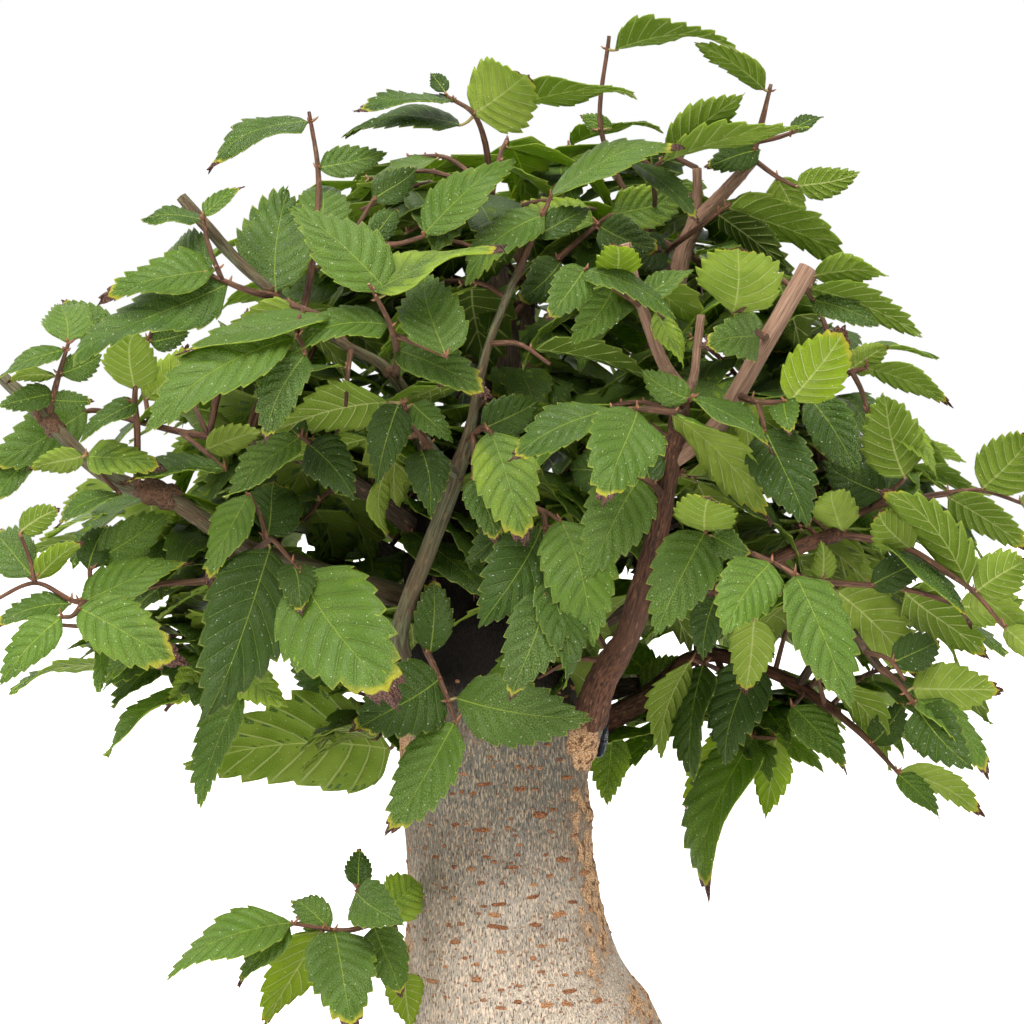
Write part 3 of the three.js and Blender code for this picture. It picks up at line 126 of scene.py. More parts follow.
# Boughs: points are picture column, picture row and depth in mm away from the viewer; radii in mm
BOUGHS = {
    "right_front": (
        [(560, 775, 2), (588, 722, -16), (604, 676, -28), (626, 640, -40), (645, 580, -50),
         (660, 520, -55), (669, 470, -58), (677, 432, -60), (684, 388, -61)],
        [7.4, 5.6, 4.5, 4.0, 3.6, 3.3, 3.2, 3.1, 2.2]),
    "right_cut": (
        [(672, 462, -58), (700, 440, -60), (717, 426, -60), (750, 370, -58), (808, 268, -52)],
        [2.6, 3.0, 3.0, 2.9, 2.9]),
    "right_stub": (
        [(684, 392, -61), (664, 364, -63), (645, 315, -66), (636, 287, -68), (625, 244, -70)],
        [2.3, 2.0, 1.8, 1.8, 1.9]),
    "right_pin": (
        [(684, 396, -61), (693, 380, -61), (697, 350, -60), (701, 315, -60)],
        [1.8, 1.5, 1.3, 1.3]),
    "right_rear": (
        [(560, 745, 8), (604, 722, 22), (652, 694, 32), (700, 655, 38), (783, 678, 30),
         (838, 713, 14)],
        [6, 4.2, 3.4, 2.6, 2.0, 1.6]),
    "right_mid": (
        [(640, 604, -46), (700, 598, -52), (773, 560, -46), (812, 542, -40), (838, 534, -37)],
        [2.2, 2.1, 2.0, 2.2, 2.3]),
    "right_high": (
        [(520, 600, 8), (610, 520, 20), (700, 462, 14), (800, 404, -6), (842, 374, -12)],
        [6, 4.2, 3.0, 1.8, 1.4]),
    "left": (
        [(440, 612, -2), (398, 596, -14), (320, 572, -24), (240, 545, -31), (209, 524, -33),
         (163, 495, -35), (130, 486, -35), (95, 467, -32), (49, 421, -28), (2, 377, -22)],
        [5.4, 4.1, 3.2, 2.8, 2.7, 3.0, 2.6, 2.3, 2.5, 2.0]),
    "left_back": (
        [(452, 560, 2), (380, 500, -10), (300, 456, -20), (209, 437, -14)],
        [4.4, 3.2, 2.2, 1.6]),
    "left_high": (
        [(452, 520, -8), (432, 470, -26), (392, 374, -44), (340, 342, -54), (300, 315, -60),
         (271, 291, -64), (232, 255, -65), (181, 197, -62)],
        [5, 3.2, 1.7, 1.5, 1.6, 1.8, 1.8, 1.7]),
    "centre_front": (
        [(420, 700, -20), (399, 640, -35), (406, 609, -38), (431, 544, -42), (456, 474, -44),
         (470, 430, -46), (484, 360, -49), (510, 290, -49), (519, 270, -48)],
        [4.0, 3.0, 2.8, 2.7, 2.8, 1.7, 1.3, 1.2, 1.2]),
    "centre_knob": (
        [(456, 474, -44), (440, 462, -46), (424, 440, -50)],
        [3.0, 2.6, 1.8]),
    "leader": (
        [(484, 500, 6), (500, 420, 12), (505, 340, 14), (497, 260, 10), (492, 196, 4)],
        [11, 7.0, 4.6, 2.8, 2.0]),
    "right_leader": (
        [(520, 540, 12), (590, 470, 26), (640, 390, 34), (672, 300, 36), (690, 234, 32),
         (722, 195, 26), (752, 162, 22)],
        [8, 6.0, 4.4, 3.4, 2.8, 2.4, 1.9]),
    "crown_pin": (
        [(690, 234, 32), (697, 200, 30), (697, 168, 28)],
        [2.2, 1.7, 1.5]),
    "right_low": (
        [(800, 684, 26), (828, 640, 6), (846, 618, -14), (858, 640, -30), (884, 672, -34)],
        [1.6, 1.4, 1.4, 1.3, 1.2]),
}

# Boughs of the hidden sides: start and end in mm, and radii
HIDDEN_BOUGHS = {
    "back_right": ((8, 10, 268), (92, 62, 304), [6, 2.0]),
    "back_middle": ((2, 16, 262), (22, 88, 286), [6.5, 2.0]),
    "back_left": ((-8, 12, 276), (-72, 70, 312), [6, 2.0]),
    "back_low": ((-2, 20, 238), (-34, 84, 250), [4.6, 1.8]),
    "back_low_right": ((10, 16, 250), (70, 80, 252), [4.6, 1.8]),
    "back_high": ((2, 8, 330), (6, 58, 388), [4.6, 1.8]),
    "side_left": ((-14, 6, 270), (-104, 34, 284), [5, 1.8]),
    "side_right": ((12, 4, 290), (104, 24, 330), [5, 1.8]),
}

# Leafy sprays read off the picture.
# Twig points: column, row, depth. Leaves: base column and row, tip column and row,
# seen width, side shown (1 upper, -1 under), tone, which TONES explains
SPRAYS = {
    "spray_crown_left": (
        [[(495, 250, 9), (490, 190, -10), (485, 142, -22), (473, 113, -28), (448, 97, -28)],
         [(476, 116, -27), (496, 112, -30), (513, 107, -32)]],
        [(473, 114, 532, 70, 80, -1, 0), (445, 92, 431, 73, 18, 1, 2),
         (455, 100, 356, 104, 14, 1, 0), (460, 125, 345, 122, 20, 1, 2),
         (512, 106, 632, 85, 25, -1, 0)]),
    "spray_crown_right_front": (
        [[(676, 286, 35), (650, 236, 22), (612, 165, 16), (600, 120, 14), (609, 36, 12)],
         [(650, 236, 22), (655, 200, -4), (655, 168, -20), (669, 155, -23)],
         [(655, 168, -20), (640, 160, -24), (626, 160, -27)]],
        [(615, 50, 735, 38, 22, -1, 0), (612, 128, 580, 115, 20, 1, 0),
         (668, 155, 742, 92, 42, -1, 0), (660, 163, 806, 118, 25, -1, 0),
         (625, 160, 700, 220, 22, 1, 2)]),
    "spray_crown_right": (
        [[(750, 164, 22), (762, 121, 18), (771, 84, 16)],
         [(756, 142, 20), (776, 138, 15), (797, 131, 12)],
         [(752, 158, 21), (776, 176, 18), (796, 187, 16)]],
        [(765, 90, 697, 42, 28, -1, 0), (790, 131, 823, 116, 15, 1, 2),
         (796, 186, 860, 173, 33, -1, 0), (760, 150, 706, 168, 34, 1, 2),
         (776, 178, 800, 232, 36, -1, 0)]),
    "spray_crown_inner": (
        [[(505, 330, 10), (548, 270, 4), (596, 226, 0), (612, 214, -2)]],
        [(594, 224, 514, 204, 34, 1, 1), (610, 214, 692, 188, 46, 1, 1),
         (560, 262, 520, 300, 44, 1, 2), (600, 226, 660, 250, 44, 1, 2)]),
    "spray_centre_top": (
        [[(517, 276, -48), (531, 242, -50), (551, 196, -48)]],
        [(551, 197, 678, 131, 32, 1, 0), (545, 215, 464, 277, 40, 1, 0),
         (534, 238, 590, 205, 30, 1, 2)]),
    "spray_left_high_tip": (
        [[(278, 297, -65), (250, 291, -73), (209, 275, -77)],
         [(222, 280, -76), (208, 244, -74), (203, 218, -73)]],
        [(203, 220, 141, 217, 18, 1, 0), (203, 216, 243, 186, 16, 1, 0),
         (209, 274, 165, 242, 60, 1, 0), (276, 292, 288, 188, 78, 1, 0),
         (228, 284, 71, 350, 50, 1, 0), (215, 270, 101, 290, 40, 1, 0)]),
    "spray_left_high_up": (
        [[(302, 318, -60), (314, 250, -42), (318, 172, -26), (309, 112, -22)],
         [(314, 250, -42), (345, 240, -46), (376, 196, -44)],
         [(345, 240, -46), (396, 244, -52), (424, 236, -56)]],
        [(308, 122, 206, 158, 25, 1, 0), (318, 168, 386, 152, 32, 1, 0),
         (318, 238, 318, 176, 55, 1, 0), (372, 200, 418, 168, 35, 1, 2),
         (370, 240, 398, 206, 28, 1, 0), (424, 235, 512, 155, 45, 1, 0)]),
    "spray_left_high_stub": (
        [[(396, 376, -44), (397, 352, -74), (389, 322, -92), (369, 284, -97)],
         [(392, 334, -84), (420, 345, -92), (448, 357, -96)]],
        [(388, 292, 292, 205, 62, 1, 0), (374, 292, 500, 240, 24, 1, 1),
         (446, 356, 423, 268, 66, 1, 0), (396, 350, 491, 393, 45, 1, 0),
         (388, 325, 289, 345, 32, 1, 0)]),
    "spray_left_high_low": (
        [[(284, 302, -64), (304, 309, -82), (343, 323, -90)],
         [(304, 309, -82), (297, 330, -95), (306, 354, -99)]],
        [(336, 316, 177, 352, 22, 1, 0), (294, 338, 146, 420, 62, 1, 0),
         (306, 354, 263, 439, 45, 1, 0), (296, 306, 215, 348, 42, -1, 0)]),
    "spray_centre_left": (
        [[(428, 446, -49), (414, 425, -58), (402, 402, -64)],
         [(420, 434, -54), (400, 438, -50), (376, 440, -46), (382, 474, -44)]],
        [(390, 402, 278, 428, 50, -1, 0), (398, 404, 377, 481, 43, 1, 2),
         (413, 404, 452, 440, 30, 1, 0), (421, 450, 430, 510, 45, 1, 2),
         (369, 438, 258, 472, 20, -1, 0), (383, 475, 387, 539, 20, -1, 0)]),
    "spray_left_back": (
        [[(214, 438, -14), (180, 432, -12), (117, 416, -6), (88, 411, -8), (40, 446, -10)],
         [(180, 432, -12), (205, 452, -28), (226, 470, -36)],
         [(150, 424, -9), (140, 380, 4), (110, 330, 12)]],
        [(88, 410, -15, 465, 55, 1, 0), (36, 450, -12, 505, 30, 1, 0),
         (225, 470, 122, 477, 18, 1, 0), (112, 334, 60, 300, 40, 1, 0),
         (146, 400, 190, 345, 40, -1, 1), (205, 450, 262, 430, 30, -1, 0)]),
    "spray_left_inner": (
        [[(300, 458, -21), (310, 444, -48), (300, 436, -64)]],
        [(300, 437, 225, 495, 36, 1, 0), (308, 444, 350, 490, 50, 1, 2),
         (303, 440, 262, 400, 40, 1, 2)]),
    "spray_left_tip": (
        [[(49, 418, -28), (56, 385, -32), (68, 343, -35)]],
        [(67, 343, 57, 302, 51, 1, 0), (64, 350, 0, 374, 18, 1, 0), (56, 376, 8, 379, 15, -1, 0),
         (52, 400, 92, 401, 22, 1, 0), (53, 394, -2, 406, 28, 1, 0), (60, 374, 102, 354, 30, 1, 0)]),
    "spray_left_mid": (
        [[(137, 484, -37), (137, 430, -43), (135, 389, -46), (155, 320, -50)]],
        [(135, 390, 134, 325, 55, -1, 0), (138, 402, 80, 440, 20, 1, 0),
         (150, 342, 190, 332, 26, 1, 0)]),
    "spray_left_spur": (
        [[(100, 470, -33), (92, 460, -39), (86, 456, -41)],
         [(94, 464, -37), (110, 484, -40), (121, 494, -41)]],
        [(86, 456, 164, 463, 34, 1, 1), (84, 456, 29, 466, 26, -1, 0), (121, 494, 55, 522, 18, 1, 0)]),
    "spray_left_low": (
        [[(262, 556, -30), (209, 580, -34), (160, 584, -40), (110, 598, -44), (77, 602, -46),
          (35, 583, -44), (-8, 602, -42)],
         [(94, 600, -45), (90, 570, -38), (96, 556, -34)],
         [(35, 583, -44), (30, 560, -46), (20, 534, -48)],
         [(84, 602, -46), (72, 616, -52), (62, 617, -54)],
         [(120, 596, -43), (98, 624, -34), (52, 625, -28)]],
        [(20, 532, 62, 508, 28, -1, 0), (33, 577, -8, 530, 50, 1, 0), (36, 580, 82, 540, 24, -1, 1),
         (88, 570, 108, 524, 34, 1, 2), (95, 560, 168, 512, 45, 1, 0), (80, 603, 189, 555, 38, 1, 0),
         (78, 608, 184, 664, 62, 1, 3), (70, 604, -5, 625, 26, 1, 0), (62, 617, 0, 680, 40, 1, 0),
         (94, 626, 103, 690, 18, 1, 0)]),
    "spray_left_hanging": (
        [[(236, 547, -28), (226, 600, -18), (212, 650, -10), (165, 711, -6)],
         [(216, 640, -12), (236, 664, -22), (243, 690, -26)]],
        [(182, 690, 105, 754, 16, 1, 0), (243, 690, 199, 803, 40, 1, 0),
         (206, 660, 168, 706, 34, 1, 1), (238, 672, 282, 704, 44, 1, 1)]),
    "spray_hero": (
        [[(256, 551, -32), (266, 543, -48), (274, 541, -60), (301, 573, -72)],
         [(266, 543, -48), (262, 520, -48), (250, 495, -46)]],
        [(270, 548, 206, 718, 92, 1, 2), (301, 574, 394, 695, 115, 1, 0),
         (268, 535, 275, 478, 62, 1, 2), (250, 494, 205, 583, 36, 1, 0),
         (292, 564, 300, 610, 40, 1, 2)]),
    "spray_front_low": (
        [[(426, 640, -6), (427, 652, -42), (440, 680, -52), (456, 722, -58)]],
        [(440, 678, 352, 731, 75, 1, 2), (455, 722, 386, 830, 60, 1, 0),
         (456, 698, 588, 719, 70, 1, 5), (430, 654, 433, 577, 40, 1, 2)]),
    "spray_centre_a": (
        [[(468, 440, -46), (482, 428, -62), (492, 432, -72)],
         [(474, 434, -54), (474, 456, -62), (473, 478, -66)]],
        [(490, 431, 523, 543, 65, 1, 3), (473, 478, 496, 543, 38, 1, 5),
         (480, 430, 540, 400, 44, 1, 2)]),
    "spray_centre_b": (
        [[(486, 520, -14), (520, 505, -46), (545, 512, -62), (560, 520, -68)],
         [(545, 512, -62), (546, 556, -70), (545, 595, -76)]],
        [(560, 520, 592, 643, 75, 1, 0), (541, 528, 480, 625, 70, 1, 5),
         (545, 594, 508, 697, 60, 1, 5), (546, 580, 572, 683, 44, 1, 5),
         (530, 508, 470, 560, 50, 1, 2)]),
    "spray_right_front_left": (
        [[(683, 400, -61), (678, 412, -78), (640, 409, -86), (612, 410, -88)],
         [(680, 408, -72), (692, 398, -80)]],
        [(637, 411, 605, 497, 78, 1, 0), (613, 410, 510, 455, 42, 1, 0),
         (690, 400, 640, 370, 32, 1, 0), (691, 398, 776, 447, 22, 1, 0),
         (672, 413, 775, 518, 42, -1, 0)]),
    "spray_right_front_inner": (
        [[(664, 498, -56), (650, 482, -66), (628, 472, -68)]],
        [(640, 478, 588, 575, 70, 1, 0), (628, 472, 570, 470, 50, 1, 2),
         (652, 484, 640, 440, 40, 1, 2)]),
    "spray_right_stub": (
        [[(642, 306, -66), (622, 292, -76), (600, 277, -81), (584, 270, -83)],
         [(640, 300, -67), (654, 308, -74), (664, 318, -76)]],
        [(616, 285, 616, 240, 45, -1, 1), (640, 300, 692, 268, 24, 1, 0),
         (585, 270, 676, 307, 24, 1, 0), (585, 268, 548, 318, 42, 1, 0),
         (612, 290, 572, 344, 38, 1, 0), (657, 312, 685, 365, 24, 1, 1)]),
    "spray_right_cut_up": (
        [[(768, 338, -57), (756, 332, -66), (735, 317, -72), (760, 297, -76)]],
        [(733, 314, 737, 242, 90, -1, 0), (760, 336, 706, 345, 50, 1, 0)]),
    "spray_right_cut_low": (
        [[(736, 394, -59), (758, 402, -70), (788, 402, -76)],
         [(758, 402, -70), (765, 430, -74)]],
        [(789, 402, 848, 325, 62, -1, 1), (784, 402, 790, 432, 30, 1, 0),
         (752, 402, 750, 460, 20, -1, 1), (765, 430, 808, 525, 65, 1, 2)]),
    "spray_right_top": (
        [[(800, 284, -53), (808, 290, -44), (814, 278, -38)],
         [(805, 288, -48), (812, 300, -38)]],
        [(813, 276, 887, 270, 30, -1, 0), (810, 288, 919, 331, 36, -1, 0),
         (812, 300, 878, 322, 30, 1, 0)]),
    "spray_leader_front": (
        [[(675, 292, 34), (664, 256, 6), (698, 228, -12), (731, 203, -18)]],
        [(726, 207, 853, 255, 45, -1, 0), (718, 214, 790, 268, 34, -1, 2),
         (668, 250, 620, 262, 40, 1, 2)]),
    "spray_right_high": (
        [[(838, 377, -12), (852, 372, -16), (866, 368, -18)],
         [(842, 375, -13), (820, 392, -34), (808, 397, -44)],
         [(852, 372, -16), (862, 392, -26), (868, 412, -32)]],
        [(850, 370, 890, 345, 30, -1, 0), (866, 368, 951, 404, 26, -1, 0),
         (808, 397, 857, 473, 48, 1, 0), (868, 412, 941, 470, 26, 1, 1)]),
    "spray_right_far_high": (
        [[(822, 540, -38), (871, 508, -24), (937, 495, -8), (985, 491, 2), (1024, 504, 8)],
         [(871, 508, -24), (890, 492, -32), (905, 479, -36)]],
        [(982, 489, 1035, 430, 60, -1, 0), (948, 497, 1030, 548, 38, -1, 0),
         (905, 478, 885, 388, 62, -1, 0), (886, 495, 822, 462, 46, 1, 2),
         (1020, 503, 1058, 498, 24, -1, 0)]),
    "spray_right_far": (
        [[(838, 534, -37), (904, 547, -44), (946, 572, -48), (972, 590, -50), (1005, 628, -52)]],
        [(842, 534, 830, 486, 46, -1, 0), (913, 551, 876, 508, 42, -1, 0),
         (875, 541, 973, 622, 16, 1, 0), (968, 586, 885, 480, 46, -1, 0),
         (976, 592, 1032, 558, 50, -1, 0), (972, 592, 1034, 640, 32, -1, 0),
         (1004, 628, 1052, 668, 26, -1, 0)]),
    "spray_right_mid_low": (
        [[(776, 560, -46), (803, 578, -40), (904, 589, -34), (962, 606, -30)],
         [(815, 580, -39), (835, 590, -36)]],
        [(836, 591, 920, 675, 62, -1, 0), (822, 582, 822, 540, 26, -1, 0),
         (905, 592, 990, 655, 50, -1, 0), (960, 606, 1024, 600, 40, -1, 0),
         (870, 586, 930, 560, 36, 1, 2)]),
    "spray_right_low": (
        [[(880, 668, -34), (898, 682, -36), (916, 706, -38)],
         [(866, 652, -33), (890, 660, -40), (905, 680, -44)]],
        [(912, 688, 1002, 690, 55, -1, 0), (917, 708, 971, 767, 55, 1, 2),
         (916, 700, 991, 773, 28, 1, 0), (890, 664, 940, 640, 40, 1, 2)]),
    "spray_rear_tip": (
        [[(836, 712, 14), (866, 738, 2), (898, 773, -8)],
         [(825, 704, 18), (820, 686, 6), (818, 673, -2)],
         [(805, 690, 24), (800, 698, 20), (792, 706, 14)]],
        [(897, 773, 983, 808, 30, -1, 0), (898, 774, 940, 817, 24, 1, 0),
         (818, 673, 895, 760, 32, -1, 0), (792, 706, 848, 772, 36, 1, 0),
         (872, 744, 905, 700, 34, 1, 2)]),
    "spray_rear_hanging": (
        [[(716, 656, 38), (730, 690, 30), (752, 735, 24), (776, 738, 22)],
         [(722, 672, 34), (706, 664, 4), (692, 660, -6)],
         [(722, 672, 34), (745, 662, 10), (756, 660, 2)]],
        [(755, 736, 691, 890, 50, 1, 0), (775, 738, 767, 816, 38, -1, 1),
         (748, 730, 684, 809, 42, -1, 1), (755, 661, 724, 761, 62, 1, 2),
         (704, 664, 690, 778, 38, 1, 2), (690, 661, 656, 752, 36, -1, 0)]),
    "spray_rear_inner": (
        [[(630, 710, 28), (622, 722, 34), (613, 731, 36)],
         [(626, 716, 31), (640, 690, 44), (652, 670, 52)]],
        [(612, 731, 606, 803, 40, 1, 1), (640, 692, 682, 655, 44, 1, 1),
         (650, 674, 620, 640, 40, 1, 0)]),
    "spray_right_mid_front": (
        [[(702, 597, -52), (706, 560, -70), (706, 532, -78)],
         [(704, 590, -56), (730, 600, -64), (755, 618, -66)],
         [(706, 560, -70), (745, 552, -80), (771, 562, -86), (795, 574, -90)]],
        [(795, 575, 852, 703, 65, 1, 0), (771, 563, 727, 630, 62, 1, 0),
         (705, 532, 656, 632, 68, 1, 0), (712, 536, 752, 554, 32, 1, 0),
         (705, 532, 713, 490, 62, -1, 0), (754, 618, 745, 693, 46, -1, 0),
         (716, 596, 703, 658, 38, 1, 2)]),
    "spray_back_big": (
        [[(432, 694, 10), (402, 728, 42), (392, 748, 54)],
         [(408, 720, 36), (380, 700, 60), (350, 690, 70)]],
        [(391, 749, 187, 764, 100, -1, 0), (350, 690, 290, 660, 50, 1, 0)]),
    "spray_low_left": (
        [[(418, 906, -16), (392, 914, -34), (350, 930, -42), (294, 924, -44)],
         [(372, 922, -38), (358, 900, -44), (358, 886, -46)],
         [(392, 914, -34), (398, 940, -40), (404, 974, -42)]],
        [(292, 923, 167, 966, 42, 1, 0), (330, 929, 290, 898, 36, 1, 0),
         (290, 926, 236, 983, 32, 1, 0), (322, 930, 262, 1030, 48, -1, 1),
         (334, 930, 352, 1030, 72, 1, 0), (358, 888, 360, 848, 28, 1, 2),
         (356, 892, 400, 922, 50, 1, 0), (385, 912, 423, 880, 50, 1, 1),
         (374, 926, 402, 994, 48, 1, 0), (404, 974, 410, 1024, 40, -1, 1)]),
}

# Leaves with set brown tips, by spray and place in its list: how far the brown reaches
SCORCHED = {
    ("spray_hero", 1): 0.75, ("spray_left_low", 6): 1.0, ("spray_left_low", 3): 0.4,
    ("spray_right_cut_low", 0): 1.0, ("spray_left_high_stub", 3): 0.8,
    ("spray_centre_a", 0): 0.7, ("spray_left_spur", 0): 0.7, ("spray_left_tip", 3): 0.4,
    ("spray_right_front_left", 4): 0.4, ("spray_left_back", 1): 0.7,
    ("spray_right_mid_low", 0): 0.3, ("spray_left_high_tip", 1): 0.9,
}

# Widest reach of the foliage by picture row: row, left column, right column
CANOPY = [
    (60, 450, 720), (110, 350, 790), (200, 170, 850), (300, 90, 915), (400, 5, 950),
    (500, -10, 1030), (600, -5, 1030), (680, 70, 1000), (740, 180, 985), (800, 330, 900),
]
CANOPY_DEPTH = 0.80

# Sprays of the hidden sides: bough, place along it, direction in degrees, height, reach, leaves
HIDDEN_SPRAYS = [
    ("back_right", 0.95, 28, 322, 0.98, 6), ("back_right", 0.7, 52, 290, 0.98, 6),
    ("back_middle", 0.95, 78, 306, 1.0, 6), ("back_middle", 0.75, 104, 276, 1.0, 6),
    ("back_left", 0.95, 128, 330, 1.0, 6), ("back_left", 0.7, 152, 300, 0.98, 6),
    ("back_low", 0.95, 116, 240, 0.95, 5), ("back_low_right", 0.95, 50, 240, 0.95, 5),
    ("back_high", 0.95, 80, 412, 1.0, 6), ("back_high", 0.6, 130, 392, 0.95, 5),
    ("right_leader", 0.62, 40, 388, 0.95, 6), ("side_left", 0.95, 168, 268, 0.95, 5),
    ("side_right", 0.95, 12, 352, 0.92, 5),
]

# Where the crown is dense, by picture row: row, left column, right column
DENSE = [
    (100, 440, 700), (160, 330, 770), (220, 260, 800), (300, 200, 850), (400, 130, 880),
    (500, 120, 930), (600, 180, 950), (650, 260, 950), (690, 420, 930),
]

# Corky dashes on the bark: column, row, width
LENTICELS = [
    (520, 789, 14), (540, 815, 15), (553, 810, 10), (482, 830, 18), (455, 825, 9),
    (463, 774, 10), (473, 794, 8), (518, 767, 6), (531, 767, 6), (540, 768, 6),
    (511, 819, 5), (508, 828, 6), (515, 836, 6), (520, 845, 7), (518, 855, 5),
    (444, 846, 5), (435, 857, 8), (425, 848, 6), (454, 867, 6), (471, 869, 8),
    (487, 857, 8), (494, 862, 6), (563, 860, 18), (584, 873, 22), (550, 876, 8),
    (534, 885, 8), (481, 883, 8), (502, 883, 6), (445, 888, 8), (454, 898, 6),
    (573, 902, 15), (560, 914, 17), (495, 915, 12), (498, 927, 21), (536, 925, 11),
    (461, 924, 8), (455, 942, 12), (563, 940, 11), (542, 946, 11), (501, 952, 11),
    (533, 958, 6), (465, 958, 6), (432, 981, 20), (476, 980, 12), (541, 972, 10),
    (565, 975, 7), (578, 973, 10), (519, 986, 8), (501, 990, 8), (445, 997, 5),
    (501, 1008, 11), (518, 1002, 8), (547, 1005, 12), (567, 1004, 12), (598, 1001, 12),
    (428, 793, 6), (440, 792, 6), (452, 794, 7), (462, 792, 5), (474, 793, 5),
    (490, 757, 6), (560, 760, 7), (548, 745, 8), (575, 790, 9), (418, 812, 6),
    (430, 825, 5), (575, 835, 8), (448, 925, 6), (420, 905, 7), (425, 940, 8),
]


# Helpers for numbers and places

def draw(i, j):
    """Seeded draw from 0 to 1."""
    h = ((i + 1) * 0x9e3779b1 ^ (j + 1) * 0x85ebca6b) & 0xffffffff
    h = (h ^ (h >> 15)) * 0x2c1b3c6d & 0xffffffff
    h = (h ^ (h >> 12)) * 0x297a2d39 & 0xffffffff
    return (h ^ (h >> 15)) / 4294967296


def unit(vector):
    return vector / max(1e-9, np.linalg.norm(vector))


def at(u, v, y):
    """Place in mm of a picture point at a depth."""
    scale = MM_PER_PX * (VIEW_DISTANCE + y) / VIEW_DISTANCE
    x = (u - PICTURE_CENTRE) * scale + TREE_SHIFT_X
    z = VIEW_HEIGHT - (v - PICTURE_CENTRE) * scale
    return np.array((x, y + TREE_SHIFT_Y, z), float)


def picture_of(point):
    """Picture column and row of a place in mm."""
    scale = MM_PER_PX * (VIEW_DISTANCE + point[1] - TREE_SHIFT_Y) / VIEW_DISTANCE
    u = PICTURE_CENTRE + (point[0] - TREE_SHIFT_X) / scale
    v = PICTURE_CENTRE - (point[2] - VIEW_HEIGHT) / scale
    return u, v


def edges_at(table, row):
    """Left and right column of an outline at a picture row."""
    rows, left, right = zip(*table)
    return np.interp(row, rows, left), np.interp(row, rows, right)


def radii_at(radii, shares):
    """Radii of a limb at shares of its length."""
    return np.interp(shares * (len(radii) - 1), range(len(radii)), radii)


def lattice(cell, seed):
    """Draws from -1 to 1, one for each whole-number cell."""
    h = cell[:, 0] * 374761393 + cell[:, 1] * 668265263 + cell[:, 2] * 1274126177
    h = (h + seed * 974634777) & 0xffffffff
    h = ((h ^ (h >> 13)) * 1274126177) & 0xffffffff
    return (h ^ (h >> 16)) / 2147483648 - 1


def grain(points, seed=0):
    """Smooth noise from -1 to 1, one value a point, with a period of 1."""
    base = np.floor(points).astype(np.int64)
    part = points - base
    part = part * part * (3 - 2 * part)
    total = np.zeros(len(points))
    for corner in np.ndindex(2, 2, 2):
        weight = np.prod(np.where(corner, part, 1 - part), axis=1)
        total += weight * lattice(base + np.array(corner), seed)
    return total


def curve_points(points, shares):
    """Points of the smooth curve through points, at shares from 0 to 1."""
    points = np.asarray(points, float)
    last = len(points) - 1
    found = []
    for share in shares:
        place = min(max(share, 0), 1) * last
        k = min(int(place), last - 1)
        w = place - k
        p1, p2 = points[k], points[k + 1]
        p0 = points[k - 1] if k > 0 else 2 * p1 - p2
        p3 = points[k + 2] if k < last - 1 else 2 * p2 - p1
        d0, d1, d2 = (max(1e-4, np.sum((b - a) ** 2) ** 0.25)
                      for a, b in ((p0, p1), (p1, p2), (p2, p3)))
        t1 = ((p1 - p0) / d0 - (p2 - p0) / (d0 + d1) + (p2 - p1) / d1) * d1
        t2 = ((p2 - p1) / d1 - (p3 - p1) / (d1 + d2) + (p3 - p2) / d2) * d1
        found.append(p1 + t1 * w + (3 * (p2 - p1) - 2 * t1 - t2) * w * w
                     + (2 * (p1 - p2) + t1 + t2) * w ** 3)
    return np.array(found)


# Mesh building

class Shape:
    """Points, faces and point values gathered for one piece."""

    def __init__(self):
        self.parts = []
        self.faces = []
        self.slots = []
        self.count = 0

    def add(self, points, faces, slots=0, **values):
        start = self.count
        self.faces += [[start + i for i in face] for face in faces]
        self.slots += [slots] * len(faces) if isinstance(slots, int) else slots
        self.parts.append((np.asarray(points, float), values))
        self.count += len(points)

    def column(self, name, width):
        """One value a point, with zeros where a part has none."""
        rows = []
        for points, values in self.parts:
            value = np.asarray(values.get(name, 0.0), float)
            if width == 1:
                rows.append(np.broadcast_to(value, len(points)))
            else:
                rows.append(np.broadcast_to(value, (len(points), width)))
        return np.concatenate(rows)

    def build(self, name, materials, flat=()):
        mesh = bpy.data.meshes.new(name)
        points = np.concatenate([part for part, values in self.parts]) * MM
        mesh.from_pydata(points.tolist(), [], self.faces)
        for material in materials:
            mesh.materials.append(material)
        mesh.polygons.foreach_set("material_index", self.slots)
        mesh.polygons.foreach_set("use_smooth", [slot not in flat for slot in self.slots])
        names = {key for part, values in self.parts for key in values}
        for key in sorted(names):
            wide = key.endswith("_place")
            layer = mesh.attributes.new(key, "FLOAT_VECTOR" if wide else "FLOAT", "POINT")
            data = self.column(key, 3 if wide else 1).ravel()
            layer.data.foreach_set("vector" if wide else "value", data)
        mesh.update()
        return put_in_scene(name, mesh)


def put_in_scene(name, data):
    made = bpy.data.objects.new(name, data)
    bpy.context.collection.objects.link(made)
    return made


def place_piece(piece, slot, *nodes):
    """Ride on the one body and stand for the nodes; slot is not used."""
    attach(piece, "root")
    if nodes:
        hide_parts(*nodes)
    return piece


